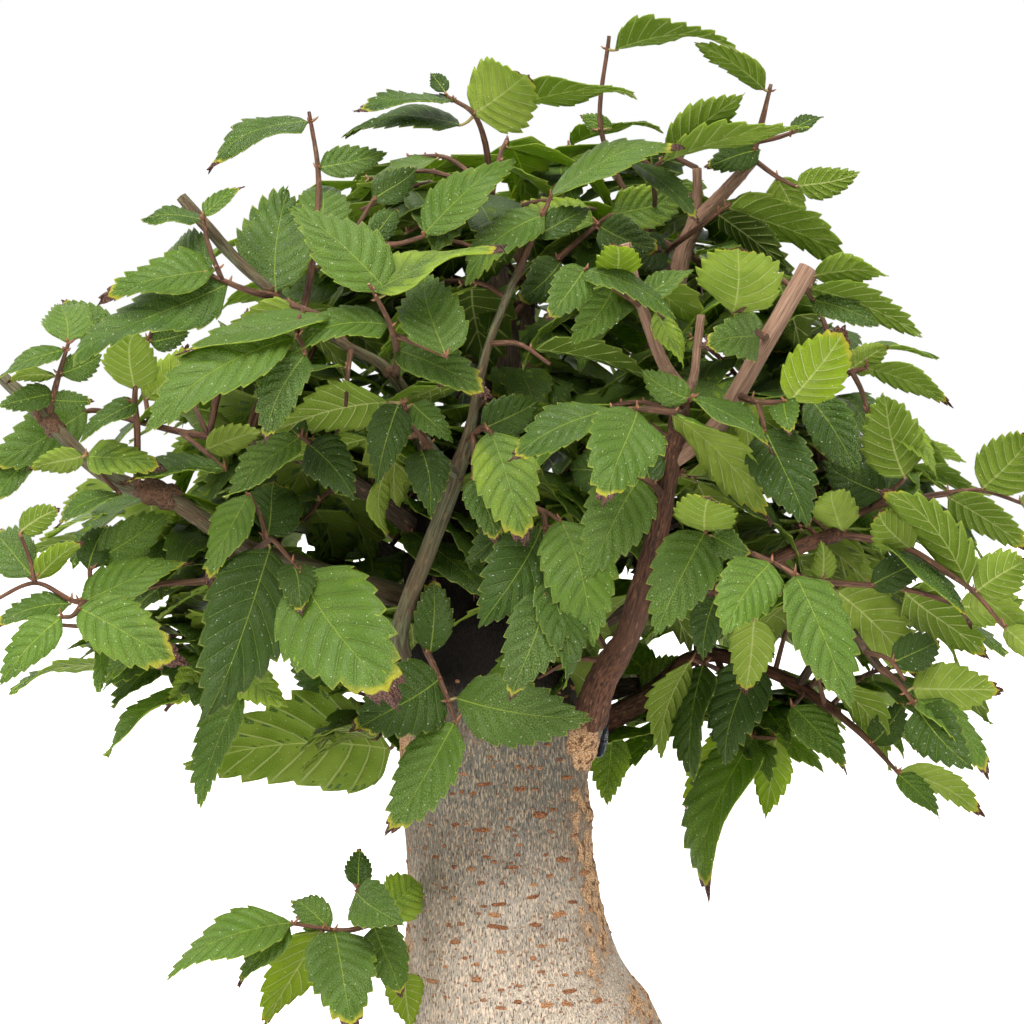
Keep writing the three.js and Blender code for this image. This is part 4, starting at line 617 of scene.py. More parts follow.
def tube(points, radii, sides, pitch, rugged=0.0, seed=0):
    """Tapered limb: its rings, the distance along it and the angle round it."""
    points = np.asarray(points, float)
    reach = np.sum(np.linalg.norm(np.diff(points, axis=0), axis=1))
    steps = max(2, int(math.ceil(reach / pitch)))
    shares = np.linspace(0, 1, steps + 1)
    centres = curve_points(points, shares)
    along = np.gradient(centres, axis=0)
    along /= np.linalg.norm(along, axis=1)[:, None]
    radius = radii_at(radii, shares)
    side = np.array((0.0, 0.0, 1.0)) if abs(along[0][2]) < 0.9 else np.array((1.0, 0.0, 0.0))
    angle = 2 * math.pi * np.arange(sides) / sides
    run = shares * reach
    rings = []
    for i in range(steps + 1):
        side = unit(side - along[i] * side.dot(along[i]))
        up = np.cross(along[i], side)
        size = np.full(sides, radius[i])
        if rugged:
            flat = np.full(sides, run[i] / 11)
            spots = np.stack((np.cos(angle) * 1.7, np.sin(angle) * 1.7, flat), axis=1)
            fine = spots * (2.6, 2.6, 4.2)
            size = size + rugged * (grain(spots + seed, seed) + 0.5 * grain(fine + seed, seed))
        rings.append(centres[i] + np.outer(np.cos(angle) * size, side)
                     + np.outer(np.sin(angle) * size, up))
    return np.array(rings), run, angle, radius, along


def ring_faces(count, sides):
    faces = []
    for i in range(count - 1):
        for j in range(sides):
            k = (j + 1) % sides
            faces.append((i * sides + j, i * sides + k, (i + 1) * sides + k, (i + 1) * sides + j))
    return faces


def closed_faces(count, sides):
    """Faces between rings, and one face over each end."""
    last = (count - 1) * sides
    return ring_faces(count, sides) + [tuple(range(sides))[::-1], tuple(range(last, last + sides))]


def add_limb(shape, points, radii, sides, pitch, slot, rugged=0.0, seed=0, cut_slot=None):
    """Limb with a closed foot and, where cut_slot is given, a sawn end with a lip."""
    rings, run, angle, radius, along = tube(points, radii, sides, pitch, rugged, seed)
    spots = [np.stack((np.cos(angle) * radius[i], np.sin(angle) * radius[i],
                       np.full(sides, run[i] * 0.22 + seed * 9)), axis=1)
             for i in range(len(rings))]
    rings = list(rings)
    slots = [slot] * (sides * (len(rings) - 1))
    if cut_slot is not None:
        end, way = rings[-1], along[-1]
        middle = end.mean(axis=0)
        for share, rise in ((0.84, 0.10), (0.78, -0.25 * radius[-1] / 2), (0.4, 0.0)):
            rings.append(middle + (end - middle) * share + way * rise)
            spots.append(spots[-1])
        slots += [slot] * sides + [cut_slot] * (2 * sides)
    slots += [slot, slot if cut_slot is None else cut_slot]
    shape.add(np.concatenate(rings), closed_faces(len(rings), sides), slots,
              bark_place=np.concatenate(spots))


def add_ball(shape, centre, size, slot, seed, rough=0.0, detail=2, axis=None, **values):
    """Uneven rounded lump, with its long side along axis where one is given."""
    points, faces = ball_mesh(detail)
    points = points * (1 + rough * grain(points * 1.7 + seed * 3.1, seed))[:, None]
    points = points * np.asarray(size, float)
    if axis is not None:
        points = points @ turn_to(axis)
    shape.add(points + centre, faces, slot, bark_place=points + seed * 7.0, **values)


BALLS = {}


def ball_mesh(detail):
    if detail not in BALLS:
        ball = bmesh.new()
        bmesh.ops.create_icosphere(ball, subdivisions=detail, radius=1)
        points = np.array([vert.co[:] for vert in ball.verts])
        faces = [tuple(vert.index for vert in face.verts) for face in ball.faces]
        BALLS[detail] = (points, faces)
        ball.free()
    return BALLS[detail]


def turn_to(axis):
    """Rows of a turn that takes +Z to the axis."""
    up = unit(np.asarray(axis, float))
    side = unit(np.cross(up, (0.3, 0.9, 0.2)))
    return np.array((side, np.cross(up, side), up))


# Leaves

TOOTH_TIP = 0.76
TOOTH_DEPTH = 0.13
TOOTH_FORWARD = 0.03
QUILTING = 0.015


def leaf_grid(teeth, half_shares, cuts):
    """Closed sheet of two layers, whose rows follow the side veins."""
    steps = np.array([(k + cut) / teeth for k in range(teeth) for cut in cuts])
    steps = steps[(steps > 0.03) & (steps < 0.985)]
    shares = np.array([-share for share in half_shares[:0:-1]] + list(half_shares))
    wide = len(shares)
    last = len(steps) - 1
    base = len(steps) * wide
    tip = base + 1
    upper = []
    for i in range(last):
        for j in range(wide - 1):
            a = i * wide + j
            upper.append((a, a + wide, a + wide + 1, a + 1))
    for j in range(wide - 1):
        upper.append((base, j, j + 1))
        upper.append((tip, last * wide + j + 1, last * wide + j))
    layer = base + 2
    lower = [tuple(i + layer for i in face[::-1]) for face in upper]
    loop = [base] + [i * wide + wide - 1 for i in range(last + 1)]
    loop += [tip] + [i * wide for i in range(last, -1, -1)]
    rim = []
    for a, b in zip(loop, loop[1:] + loop[:1]):
        rim.append((a, b, b + layer, a + layer))
    faces = upper + lower + rim
    slots = [0] * len(upper) + [1] * (len(lower) + len(rim))
    return {"teeth": teeth, "steps": steps, "shares": shares, "faces": faces, "slots": slots}


LARGE_GRID = leaf_grid(9, (0, 0.28, 0.56, 0.82, 1), (0.0, 0.2, 0.5, 0.76))
MIDDLE_GRID = leaf_grid(8, (0, 0.36, 0.74, 1), (0.0, 0.2, 0.5, 0.76))
SMALL_GRID = leaf_grid(8, (0, 0.55, 1), (0.0, 0.4, 0.76))
INNER_GRID = leaf_grid(7, (0, 0.6, 1), (0.0, 0.72))
LARGE_LEAF = 28
MIDDLE_LEAF = 19


def picture_grid(length):
    if length > LARGE_LEAF:
        return LARGE_GRID
    return MIDDLE_GRID if length > MIDDLE_LEAF else SMALL_GRID


def leaf_frame(base, tip, normal, width):
    along = tip - base
    length = np.linalg.norm(along)
    along = along / length
    up = unit(normal - along * normal.dot(along))
    return {"base": base, "along": along, "across": np.cross(up, along), "normal": up,
            "length": length, "width": width}


def on_leaf(leaf, share):
    """Place on a leaf's axis at a share of its length."""
    return leaf["base"] + leaf["along"] * leaf["length"] * share


def add_leaf(shape, grid, leaf, seed, tone=0.0, scorch=0.0):
    """Toothed blade, quilted between its veins, folded, arched, waved and a little twisted."""
    rng = random.Random(seed)
    teeth = grid["teeth"]
    length, half = leaf["length"], leaf["width"] / 2
    q = grid["steps"][:, None]
    t = grid["shares"][None, :]
    side = np.abs(t) + 0 * q
    number = q * teeth + 0 * t
    skewed = np.clip(q + 0.24 / teeth * t, 0.01, 0.995)
    cut = number % 1
    rise = (cut / TOOTH_TIP) ** 0.65
    fall = (1 - cut) / (1 - TOOTH_TIP)
    tooth = np.where(cut <= TOOTH_TIP, rise, fall)
    vary = 0.7 + 0.6 * np.array([rng.random() for _ in range(2 * teeth)])
    tooth = tooth * vary[np.clip(number.astype(int), 0, teeth - 1) + teeth * (t > 0)]
    rib = skewed ** 1.4
    edge = 1 - (1 - skewed) ** 1.38
    fullness = rng.uniform(0.48, 0.64)
    outline = edge ** fullness * (1 - edge) ** 1.08
    outline = outline / outline.max()
    spread = outline + TOOTH_DEPTH * tooth * np.minimum(1, 2.4 * outline) * side ** 3
    x = rib + (edge - rib) * side ** 1.25 + TOOTH_FORWARD * tooth * side ** 4
    y = np.sign(t) * side * spread / (1 + 0.6 * TOOTH_DEPTH)
    curl = (side ** 6 * tooth).ravel()
    x = np.append(x.ravel(), (0.0, 1.0))
    y = np.append(y.ravel(), (0.0, 0.0)) * half
    curl = np.append(curl, (0.0, 0.0))
    off_rib = np.abs(y)
    side = np.append(side.ravel(), (0.0, 0.6))
    number = np.append(number.ravel(), (TOOTH_TIP + 0.5, TOOTH_TIP + 0.5)) - TOOTH_TIP
    mid = np.clip(4 * x * (1 - x), 0, 1)
    flat_place = np.stack((x * length, y, np.full(len(x), rng.uniform(0, 90))), axis=1)
    z = rng.uniform(0.03, 0.09) * length * mid
    z += rng.uniform(0.10, 0.34) * np.abs(y) * (1 - 0.45 * x)
    z -= rng.uniform(0.0, 0.12) * half * side ** 3
    bulge = -np.cos(2 * math.pi * number) * np.sin(math.pi * side) ** 0.8
    z += QUILTING * length * bulge * np.minimum(1, 1.6 * mid)
    phase = rng.uniform(0, 6.28)
    z += rng.uniform(0.012, 0.045) * length * side ** 2 * np.sin(8.5 * x + phase + (y > 0) * 1.9)
    z += rng.uniform(-0.012, 0.022) * length * curl
    z -= rng.uniform(0.01, 0.12) * length * np.clip(x - 0.5, 0, 1) ** 2 * 4
    y = y + rng.uniform(-0.06, 0.06) * length * mid
    twist = rng.uniform(-0.6, 0.6) * (x - 0.5)
    y, z = y * np.cos(twist) - z * np.sin(twist), y * np.sin(twist) + z * np.cos(twist)
    flat = (leaf["base"] + np.outer(x * length, leaf["along"]) + np.outer(y, leaf["across"])
            + np.outer(z, leaf["normal"]))
    lift = leaf["normal"] * LEAF_THICKNESS / 2
    shape.add(
        np.concatenate((flat + lift, flat - lift)), grid["faces"], grid["slots"],
        along=np.tile(x, 2), across=np.tile(side, 2), vein=np.tile(number, 2),
        rib=np.tile(off_rib, 2), leaf_place=np.tile(flat_place, (2, 1)), luck=rng.random(),
        tone=tone, scorch=scorch)


def nearest_on(curves, point):
    """Closest place to a point on broken lines, and its distance."""
    best, gap = None, 1e9
    for line in curves:
        for a, b in zip(line[:-1], line[1:]):
            way = b - a
            share = np.clip((point - a).dot(way) / max(1e-9, way.dot(way)), 0, 1)
            spot = a + way * share
            distance = np.linalg.norm(point - spot)
            if distance < gap:
                best, gap = spot, distance
    return best, gap


def add_stalk(shape, spot, leaf, seed, sides=5, pitch=1.1):
    """Short leaf stalk with a bud in its axil."""
    base = leaf["base"]
    gap = np.linalg.norm(base - spot)
    inner = base + leaf["along"] * 1.2 - leaf["normal"] * 0.15
    middle = (spot + base) / 2 - leaf["normal"] * 0.12 * gap
    points = [spot, middle, base - leaf["normal"] * 0.1, inner]
    add_limb(shape, points, [0.62, 0.5, 0.45, 0.3], sides, pitch, 2, seed=seed)
    bud = spot + (leaf["normal"] * 0.9 + leaf["along"] * 0.5)
    add_ball(shape, bud, (0.5, 0.5, 1.15), 4, seed, detail=1, axis=leaf["normal"])


def twig_depth(twigs, u, v):
    """Depth of a twig where it passes closest to a picture point."""
    best, depth = 1e9, 0
    for twig in twigs:
        for (u0, v0, y0), (u1, v1, y1) in zip(twig[:-1], twig[1:]):
            du, dv = u1 - u0, v1 - v0
            t = np.clip(((u - u0) * du + (v - v0) * dv) / (du * du + dv * dv), 0, 1)
            gap = math.hypot(u - u0 - t * du, v - v0 - t * dv)
            if gap < best:
                best, depth = gap, y0 + t * (y1 - y0)
    return depth


def picture_leaf(row, twigs, seed):
    """Leaf seen in the picture: its tilt follows from how wide and long it looks."""
    bu, bv, tu, tv, seen_width, face = row[:6]
    depth = twig_depth(twigs, bu, bv)
    seen_length = math.hypot(tu - bu, tv - bv)
    true_length = max(seen_length * 1.03, seen_width / 0.6)
    reach = min(28, MM_PER_PX * math.sqrt(true_length ** 2 - seen_length ** 2))
    toward = (face > 0) != (tv < bv)
    base = at(bu, bv, depth)
    tip = at(tu, tv, depth + (-reach if toward else reach))
    length = np.linalg.norm(tip - base)
    seen_mm = seen_width * MM_PER_PX * (VIEW_DISTANCE + depth) / VIEW_DISTANCE
    width = min(max(seen_mm, LEAF_MIN_RATIO * length), LEAF_MAX_RATIO * length)
    along = (tip - base) / length
    eye = unit(np.array(EYE) - base)
    facing = unit(eye - along * eye.dot(along))
    sideways = np.cross(along, facing)
    roll = math.acos(min(1, seen_mm / width))
    lean = np.sign(sideways[2]) if abs(sideways[2]) > 0.15 else np.sign(draw(seed, 3) - 0.5)
    normal = facing * math.cos(roll) * face + sideways * math.sin(roll) * lean
    return leaf_frame(base, tip, normal, width)


def hidden_twig(bough, place, degrees, height, reach):
    """Leafy twig of the hidden sides, curving out to the edge of the crown."""
    start = curve_points(bough_points(bough), [place])[0]
    row = PICTURE_CENTRE - (height - VIEW_HEIGHT) / MM_PER_PX
    left, right = edges_at(CANOPY, row)
    angle = math.radians(degrees)
    half_x = abs((right if math.cos(angle) > 0 else left) - PICTURE_CENTRE) * MM_PER_PX
    half_y = (right - left) / 2 * MM_PER_PX * CANOPY_DEPTH
    end = np.array((TREE_SHIFT_X + math.cos(angle) * (half_x * reach - 30),
                    TREE_SHIFT_Y + math.sin(angle) * (half_y * reach - 30), height))
    middle = (start + end) / 2
    middle[2] += 0.10 * np.linalg.norm(end - start)
    return np.array((start, middle, end))


def side_leaves(points, count, seed, first, shortest, longest, droop=0.0):
    """Leaves on alternate sides of a twig, from the share first of its length to its end."""
    leaves = []
    shares = [first + (0.96 - first) * i / (count - 1) for i in range(count - 1)] + [1]
    spots = curve_points(points, shares)
    ahead = curve_points(points, [share - 0.02 for share in shares])
    for i, base in enumerate(spots):
        forward = base - ahead[i]
        heading = math.atan2(forward[1], forward[0])
        side = 0 if i == count - 1 else (1 if i % 2 else -1)
        swing = side * (0.75 + 0.4 * draw(seed, i * 5 + 1)) + 0.2 * (draw(seed, i * 5 + 2) - 0.5)
        way = np.array((math.cos(heading + swing), math.sin(heading + swing),
                        0.15 - droop - 0.6 * draw(seed, i * 5 + 3)))
        way = unit(way)
        length = shortest + (longest - shortest) * draw(seed, i * 5 + 4)
        tilt = np.array((way[0] * 0.25 + 0.5 * (draw(seed, i * 5 + 5) - 0.5),
                         way[1] * 0.25 + 0.5 * (draw(seed, i * 5 + 6) - 0.5), 1))
        width = length * (0.5 + 0.1 * draw(seed, i * 5 + 7))
        start = base + way * 1.5
        leaves.append(leaf_frame(start, start + way * length, tilt, width))
    return leaves


# Materials

class Paint:
    """A material under construction, with short calls for the nodes that repeat."""

    def __init__(self, name, world=None):
        self.material = world or bpy.data.materials.new(name)
        self.material.use_nodes = True
        self.tree = self.material.node_tree
        self.tree.nodes.clear()

    def node(self, kind, inputs=None, **settings):
        made = self.tree.nodes.new("ShaderNode" + kind)
        for key, value in settings.items():
            setattr(made, key, value)
        for key, value in (inputs or {}).items():
            if isinstance(value, bpy.types.NodeSocket):
                self.tree.links.new(value, made.inputs[key])
            else:
                made.inputs[key].default_value = value
        return made

    def value(self, name):
        return self.node("Attribute", attribute_name=name).outputs["Fac"]

    def place(self, name):
        return self.node("Attribute", attribute_name=name).outputs["Vector"]

    def math(self, operation, a, b=0.0):
        return self.node("Math", {0: a, 1: b}, operation=operation).outputs[0]

    def times(self, a, b):
        return self.math("MULTIPLY", a, b)

    def plus(self, base, value, share):
        """Base with a share of the value added."""
        return self.math("ADD", base, self.times(value, share))

    def scaled(self, vector, factors):
        return self.node("VectorMath", {0: vector, 1: factors}, operation="MULTIPLY").outputs[0]

    def noise(self, vector, scale, detail=3.0, rough=0.55):
        inputs = {"Vector": vector, "Scale": scale, "Detail": detail, "Roughness": rough}
        return self.node("TexNoise", inputs).outputs[0]

    def cells(self, vector, scale, sides="3D"):
        inputs = {"Vector": vector, "Scale": scale}
        return self.node("TexVoronoi", inputs, voronoi_dimensions=sides).outputs["Distance"]

    def span(self, value, low, high, start=0.0, end=1.0):
        """Value between low and high, brought to start and end with smooth ends."""
        inputs = {"Value": value, "From Min": low, "From Max": high, "To Min": start, "To Max": end}
        made = self.node("MapRange", inputs, interpolation_type="SMOOTHSTEP")
        return made.outputs[0]

    def mix(self, factor, a, b, blend="MIX"):
        made = self.node("Mix", data_type="RGBA", blend_type=blend)
        for index, value in ((0, factor), (6, a), (7, b)):
            if isinstance(value, bpy.types.NodeSocket):
                self.tree.links.new(value, made.inputs[index])
            elif index == 0:
                made.inputs[index].default_value = value
            else:
                made.inputs[index].default_value = (*value, 1.0)
        return made.outputs[2]

    def bump(self, height, distance, strength=1.0):
        inputs = {"Height": height, "Distance": distance, "Strength": strength}
        return self.node("Bump", inputs).outputs[0]

    def surface(self, colour, roughness, normal, specular):
        inputs = {"Base Color": colour, "Roughness": roughness, "Specular IOR Level": specular}
        if normal is not None:
            inputs["Normal"] = normal
        return self.node("BsdfPrincipled", inputs).outputs[0]

    def finish(self, shader, output="OutputMaterial"):
        self.node(output, {"Surface": shader})
        return self.material


# Leaf sides: colours, where the veins begin, how strongly each mark shows, relief and gloss
LEAF_SIDES = {
    "leaf_upper": {
        "dark": (0.032, 0.078, 0.002), "light": (0.118, 0.212, 0.011),
        "cloud": (0.070, 0.150, 0.003), "cloudy": (0.38, 0.68, 0.0, 0.70),
        "line": (0.34, 0.43, 0.07), "pale": (0.300, 0.385, 0.150), "deep": (0.016, 0.050, 0.002),
        "groove_from": 0.15, "thread_from": 0.04, "midrib_from": 0.33,
        "groove": 0.46, "thread": 0.30, "frost_and_sheen": 0.56, "midrib": 0.65,
        "relief": -0.6, "rough": 0.44, "gloss": 0.17, "specular": 0.38, "through": 0.30,
    },
    "leaf_underside": {
        "dark": (0.190, 0.285, 0.022), "light": (0.380, 0.470, 0.070),
        "cloud": (0.170, 0.265, 0.014), "cloudy": (0.35, 0.7, 0.0, 0.6),
        "line": (0.52, 0.56, 0.20), "pale": (0.36, 0.44, 0.10), "deep": (0.12, 0.20, 0.012),
        "groove_from": 0.22, "thread_from": 0.085, "midrib_from": 0.52,
        "groove": 0.40, "thread": 0.85, "frost_and_sheen": 0.35, "midrib": 0.85,
        "relief": 0.6, "rough": 0.66, "gloss": 0.14, "specular": 0.25, "through": 0.38,
    },
}
YELLOWED = (0.270, 0.370, 0.010)
# Painted shade: the green that leaves of negative tone are darkened towards
SHADED = (0.028, 0.066, 0.001)
MARGIN = (0.42, 0.46, 0.085)
HALO = (0.46, 0.42, 0.040)
BURNT_DARK = (0.058, 0.028, 0.024)
BURNT_LIGHT = (0.26, 0.125, 0.080)
SPECK = (0.58, 0.62, 0.46)
GLOW = (2.00, 2.05, 0.60)


def leaf_material(name):
    """Leaf side: veins, margin, blotches, brown tips and specks follow the blade's own grid."""
    look = LEAF_SIDES[name]
    p = Paint(name)
    spot = p.place("leaf_place")
    luck, tone, scorch = p.value("luck"), p.value("tone"), p.value("scorch")
    along, across = p.value("along"), p.value("across")
    cloud = p.noise(spot, 0.10, 2.0)
    own = p.node("VectorMath", {0: spot, 1: p.times(luck, 60.0)}, operation="ADD").outputs[0]
    pebble = p.span(p.cells(own, 1.75, "2D"), 0.58, 0.08)

    # Ground colour of this leaf, its blotches and tone (yellowing where the tone is positive, painted
    # shade where it is negative), and its pale reticulate, partly painted sheen
    colour = p.mix(luck, look["dark"], look["light"])
    colour = p.mix(p.span(cloud, *look["cloudy"]), colour, look["cloud"])
    fading = p.math("ADD", tone, p.times(p.math("SUBTRACT", across, 0.45), 0.45))
    fading = p.math("ADD", fading, p.times(p.math("SUBTRACT", cloud, 0.5), 1.2))
    colour = p.mix(p.span(fading, 0.25, 1.05), colour, YELLOWED)
    # Negative tones darken the leaf towards SHADED: painted shade
    colour = p.mix(p.span(tone, 0.0, -1.0, 0.0, 0.85), colour, SHADED)
    # Pale reticulate over the blade: partly the blade's own pale surface, partly painted sheen; less
    # on leaves of negative tone
    frost_and_sheen = p.math("ADD", p.noise(spot, 0.055, 1.0), p.times(tone, 0.22))
    frost_and_sheen = p.span(frost_and_sheen, 0.22, 0.62, 0.12 * look["frost_and_sheen"], look["frost_and_sheen"])
    colour = p.mix(p.times(pebble, frost_and_sheen), colour, look["pale"])

    # Side veins, midrib and the light rim of the teeth; the darker band along each side vein is partly
    # painted shade of its groove
    off_vein = p.math("PINGPONG", p.value("vein"), 0.5)
    inside = p.span(across, 1.0, 0.78)
    groove = p.times(p.span(off_vein, look["groove_from"], 0.01), inside)
    thread = p.times(p.span(off_vein, look["thread_from"], 0.012), inside)
    midrib = p.span(p.math("ADD", p.value("rib"), p.times(along, 0.16)),
                    look["midrib_from"], 0.12)
    # Darker band along the side veins: partly the vein's own colour, partly painted shade in its
    # groove
    colour = p.mix(p.times(groove, look["groove"]), colour, look["deep"])
    colour = p.mix(p.times(thread, look["thread"]), colour, look["line"])
    colour = p.mix(p.times(midrib, look["midrib"]), colour, look["line"])
    margin = p.span(across, 0.955, 1.0)
    tooth = p.math("ADD", 0.14, p.span(off_vein, 0.30, 0.02, 0.0, 0.46))
    colour = p.mix(p.times(margin, tooth), colour, MARGIN)

    # Brown tip with a yellow rim, where scorch is above zero
    ragged = p.plus(along, cloud, 0.34)
    ragged = p.math("ADD", ragged, p.times(p.math("POWER", across, 3.0), 0.22))
    ragged = p.plus(ragged, scorch, 0.30)
    ragged = p.math("ADD", ragged, p.span(along, 0.84, 1.0, 0.0, 0.30))
    marked = p.span(scorch, 0.0, 0.3)
    halo = p.times(p.span(ragged, 1.30, 1.46, 0.0, 0.85), marked)
    burnt = p.times(p.span(ragged, 1.49, 1.53), marked)
    colour = p.mix(halo, colour, HALO)
    colour = p.mix(burnt, colour, p.mix(pebble, BURNT_DARK, BURNT_LIGHT))
    colour = p.mix(p.span(p.cells(own, 0.19, "2D"), 0.045, 0.022, 0.0, 0.8), colour, SPECK)

    # Relief, gloss and the light that comes through
    height = p.times(p.math("ADD", groove, midrib), look["relief"])
    height = p.plus(height, pebble, 0.75)
    normal = p.bump(height, 0.00036, 0.95)
    roughness = p.math("SUBTRACT", look["rough"], p.times(pebble, look["gloss"]))
    shader = p.surface(colour, roughness, normal, look["specular"])
    glow = p.mix(1.0, colour, GLOW, "MULTIPLY")
    through = p.node("BsdfTranslucent", {"Color": glow}).outputs[0]
    mixed = p.node("MixShader", {0: look["through"], 1: shader, 2: through})
    return p.finish(mixed.outputs[0])


def bark_material(name, dark, light, warm, fibre=1.0, stretch=0.35):
    """Bough bark with fibres along the limb, blotches and cracks; bark_place runs along it."""
    p = Paint(name)
    spot = p.place("bark_place")
    strands = p.noise(p.scaled(spot, (1.0, 1.0, stretch)), 1.6, 5.0, 0.62)
    threads = p.noise(p.scaled(spot, (1.0, 1.0, 0.2)), 2.6, 3.0, 0.6)
    cloud = p.noise(spot, 0.16, 3.0)
    grit = p.noise(spot, 1.9, 4.0, 0.65)
    colour = p.mix(p.span(strands, 0.36, 0.62), dark, light)
    colour = p.mix(p.span(cloud, 0.38, 0.68, 0.0, 0.65), colour, warm)
    colour = p.mix(p.span(threads, 0.50, 0.70, 0.0, 0.7), colour, tuple(c * 0.35 for c in dark))
    pits = p.span(p.cells(p.scaled(spot, (1.0, 1.0, 1.6)), 0.62), 0.26, 0.14, 0.0, 0.55)
    colour = p.mix(pits, colour, (0.30, 0.16, 0.085))
    height = p.math("ADD", p.times(strands, fibre), p.times(grit, 0.6))
    height = p.plus(height, threads, -0.8)
    normal = p.bump(height, 0.0010, 0.9)
    shader = p.surface(colour, p.span(grit, 0.3, 0.7, 0.58, 0.88), normal, 0.35)
    return p.finish(shader)


# Heights in mm between which the trunk's colour darkens almost to black: painted shade of the crown
SHADED_FROM = 236
SHADED_TO = 264


def trunk_material():
    """Grey bark flecked with short upright tan and dark dashes, paler and warmer low down, darker
    higher up partly as painted shade, and painted deep shade near the crown.
    """
    p = Paint("trunk_bark")
    spot = p.place("bark_place")
    tall = p.node("SeparateXYZ", {0: spot}).outputs[2]
    flecks = p.noise(p.scaled(spot, (1.0, 1.0, 0.26)), 1.75, 2.0, 0.6)
    dashes = p.noise(p.scaled(spot, (1.0, 1.0, 0.22)), 2.7, 2.0, 0.5)
    cloud = p.noise(spot, 0.055, 3.0)
    grit = p.noise(spot, 1.9, 4.0, 0.65)
    # Darker grey higher up and paler, warmer low down: partly the bark's own colour, partly painted
    # shade under the crown
    low = p.plus(tall, cloud, 60.0)
    pale = p.span(low, 262.0, 190.0)
    grey = p.mix(pale, (0.148, 0.140, 0.118), (0.460, 0.398, 0.318))
    tan = p.mix(pale, (0.420, 0.325, 0.215), (0.750, 0.575, 0.425))
    colour = p.mix(p.span(cloud, 0.40, 0.66, 0.0, 0.35), grey, (0.300, 0.235, 0.170))
    colour = p.mix(p.span(flecks, 0.47, 0.63), colour, tan)
    colour = p.mix(p.span(dashes, 0.46, 0.34, 0.0, 0.85), colour, (0.060, 0.050, 0.038))
    colour = p.mix(p.span(low, 138.0, 104.0, 0.0, 0.7), colour, (0.15, 0.115, 0.08))
    dots = p.span(p.cells(p.scaled(spot, (1.0, 1.0, 1.5)), 0.40), 0.26, 0.17)
    rust = p.mix(p.span(grit, 0.42, 0.60), (0.150, 0.052, 0.024), (0.500, 0.230, 0.110))
    dots = p.times(dots, p.span(cloud, 0.42, 0.50, 0.15, 0.85))
    colour = p.mix(dots, colour, rust)
    rough = p.value("patch")
    crust = p.cells(p.scaled(spot, (1.0, 1.0, 0.7)), 0.62)
    ochre = p.mix(p.span(grit, 0.38, 0.60), (0.24, 0.090, 0.036), (0.78, 0.52, 0.29))
    ochre = p.mix(p.span(crust, 0.58, 0.78, 0.0, 0.80), ochre, (0.075, 0.034, 0.016))
    patch = p.span(p.plus(rough, grit, 0.5), 0.52, 0.80)
    # Dark brown where the patch share is high: rough bark, and painted shade along the trunk's left
    # and right edges
    colour = p.mix(p.span(rough, 0.0, 0.55, 0.0, 0.62), colour, (0.190, 0.105, 0.058))
    colour = p.mix(patch, colour, ochre)
    # Painted shade of the crown: above SHADED_FROM the bark darkens almost to black
    shade = p.span(tall, SHADED_FROM, SHADED_TO, 0.0, 0.98)
    colour = p.mix(shade, colour, (0.006, 0.004, 0.003))
    height = p.math("ADD", p.times(flecks, 1.2), p.times(dashes, 1.0))
    height = p.plus(height, grit, 0.6)
    height = p.plus(height, dots, 0.5)
    normal = p.bump(height, 0.0009, 0.9)
    return p.finish(p.surface(colour, p.span(grit, 0.3, 0.7, 0.66, 0.92), normal, 0.12))


def corky_material():
    """Rust-orange corky dashes, crumbly, with darker cracks between the crumbs."""
    p = Paint("lenticel_cork")
    spot = p.place("cork_place")
    luck = p.value("luck")
    grit = p.noise(spot, 2.6, 4.0, 0.65)
    crumbs = p.cells(spot, 2.2)
    colour = p.mix(p.span(grit, 0.40, 0.58), (0.170, 0.055, 0.024), (0.520, 0.220, 0.095))
    colour = p.mix(p.span(luck, 0.35, 1.0, 0.0, 0.6), colour, (0.720, 0.370, 0.170))
    colour = p.mix(p.span(crumbs, 0.45, 0.75, 0.0, 0.7), colour, (0.080, 0.032, 0.016))
    normal = p.bump(p.math("SUBTRACT", grit, crumbs), 0.0007, 0.9)
    return p.finish(p.surface(colour, 0.85, normal, 0.25))


def grained_material(name, dark, light, scale, detail, depth, roughness, specular, solid=False):
    """Two colours mixed by a fine grain, which gives the relief too; solid takes it from space."""
    p = Paint(name)
    spot = p.node("TexCoord").outputs["Object"] if solid else p.place("bark_place")
    grit = p.noise(spot, scale, detail)
    colour = p.mix(p.span(grit, 0.3, 0.7), dark, light)
    return p.finish(p.surface(colour, roughness, p.bump(grit, depth), specular))


def sealant_material():
    """Glossy blue-black wound paste with a wrinkled skin."""
    p = Paint("wound_paste")
    spot = p.place("bark_place")
    skin = p.noise(spot, 0.5, 3.0)
    colour = p.mix(p.span(skin, 0.35, 0.7), (0.003, 0.004, 0.006), (0.012, 0.019, 0.026))
    normal = p.bump(skin, 0.0012, 0.8)
    return p.finish(p.surface(colour, p.span(skin, 0.3, 0.7, 0.08, 0.20), normal, 0.12))


def soil_material(name, dark, light):
    """Baked clay granules and bark crumbs, a tone for each granule."""
    p = Paint(name)
    spot = p.place("bark_place")
    luck = p.value("luck")
    grit = p.noise(spot, 1.6, 5.0, 0.65)
    colour = p.mix(luck, dark, light)
    colour = p.mix(p.span(grit, 0.35, 0.7, 0.0, 0.6), colour, tuple(c * 0.45 for c in dark))
    return p.finish(p.surface(colour, 0.92, p.bump(grit, 0.0007), 0.2))


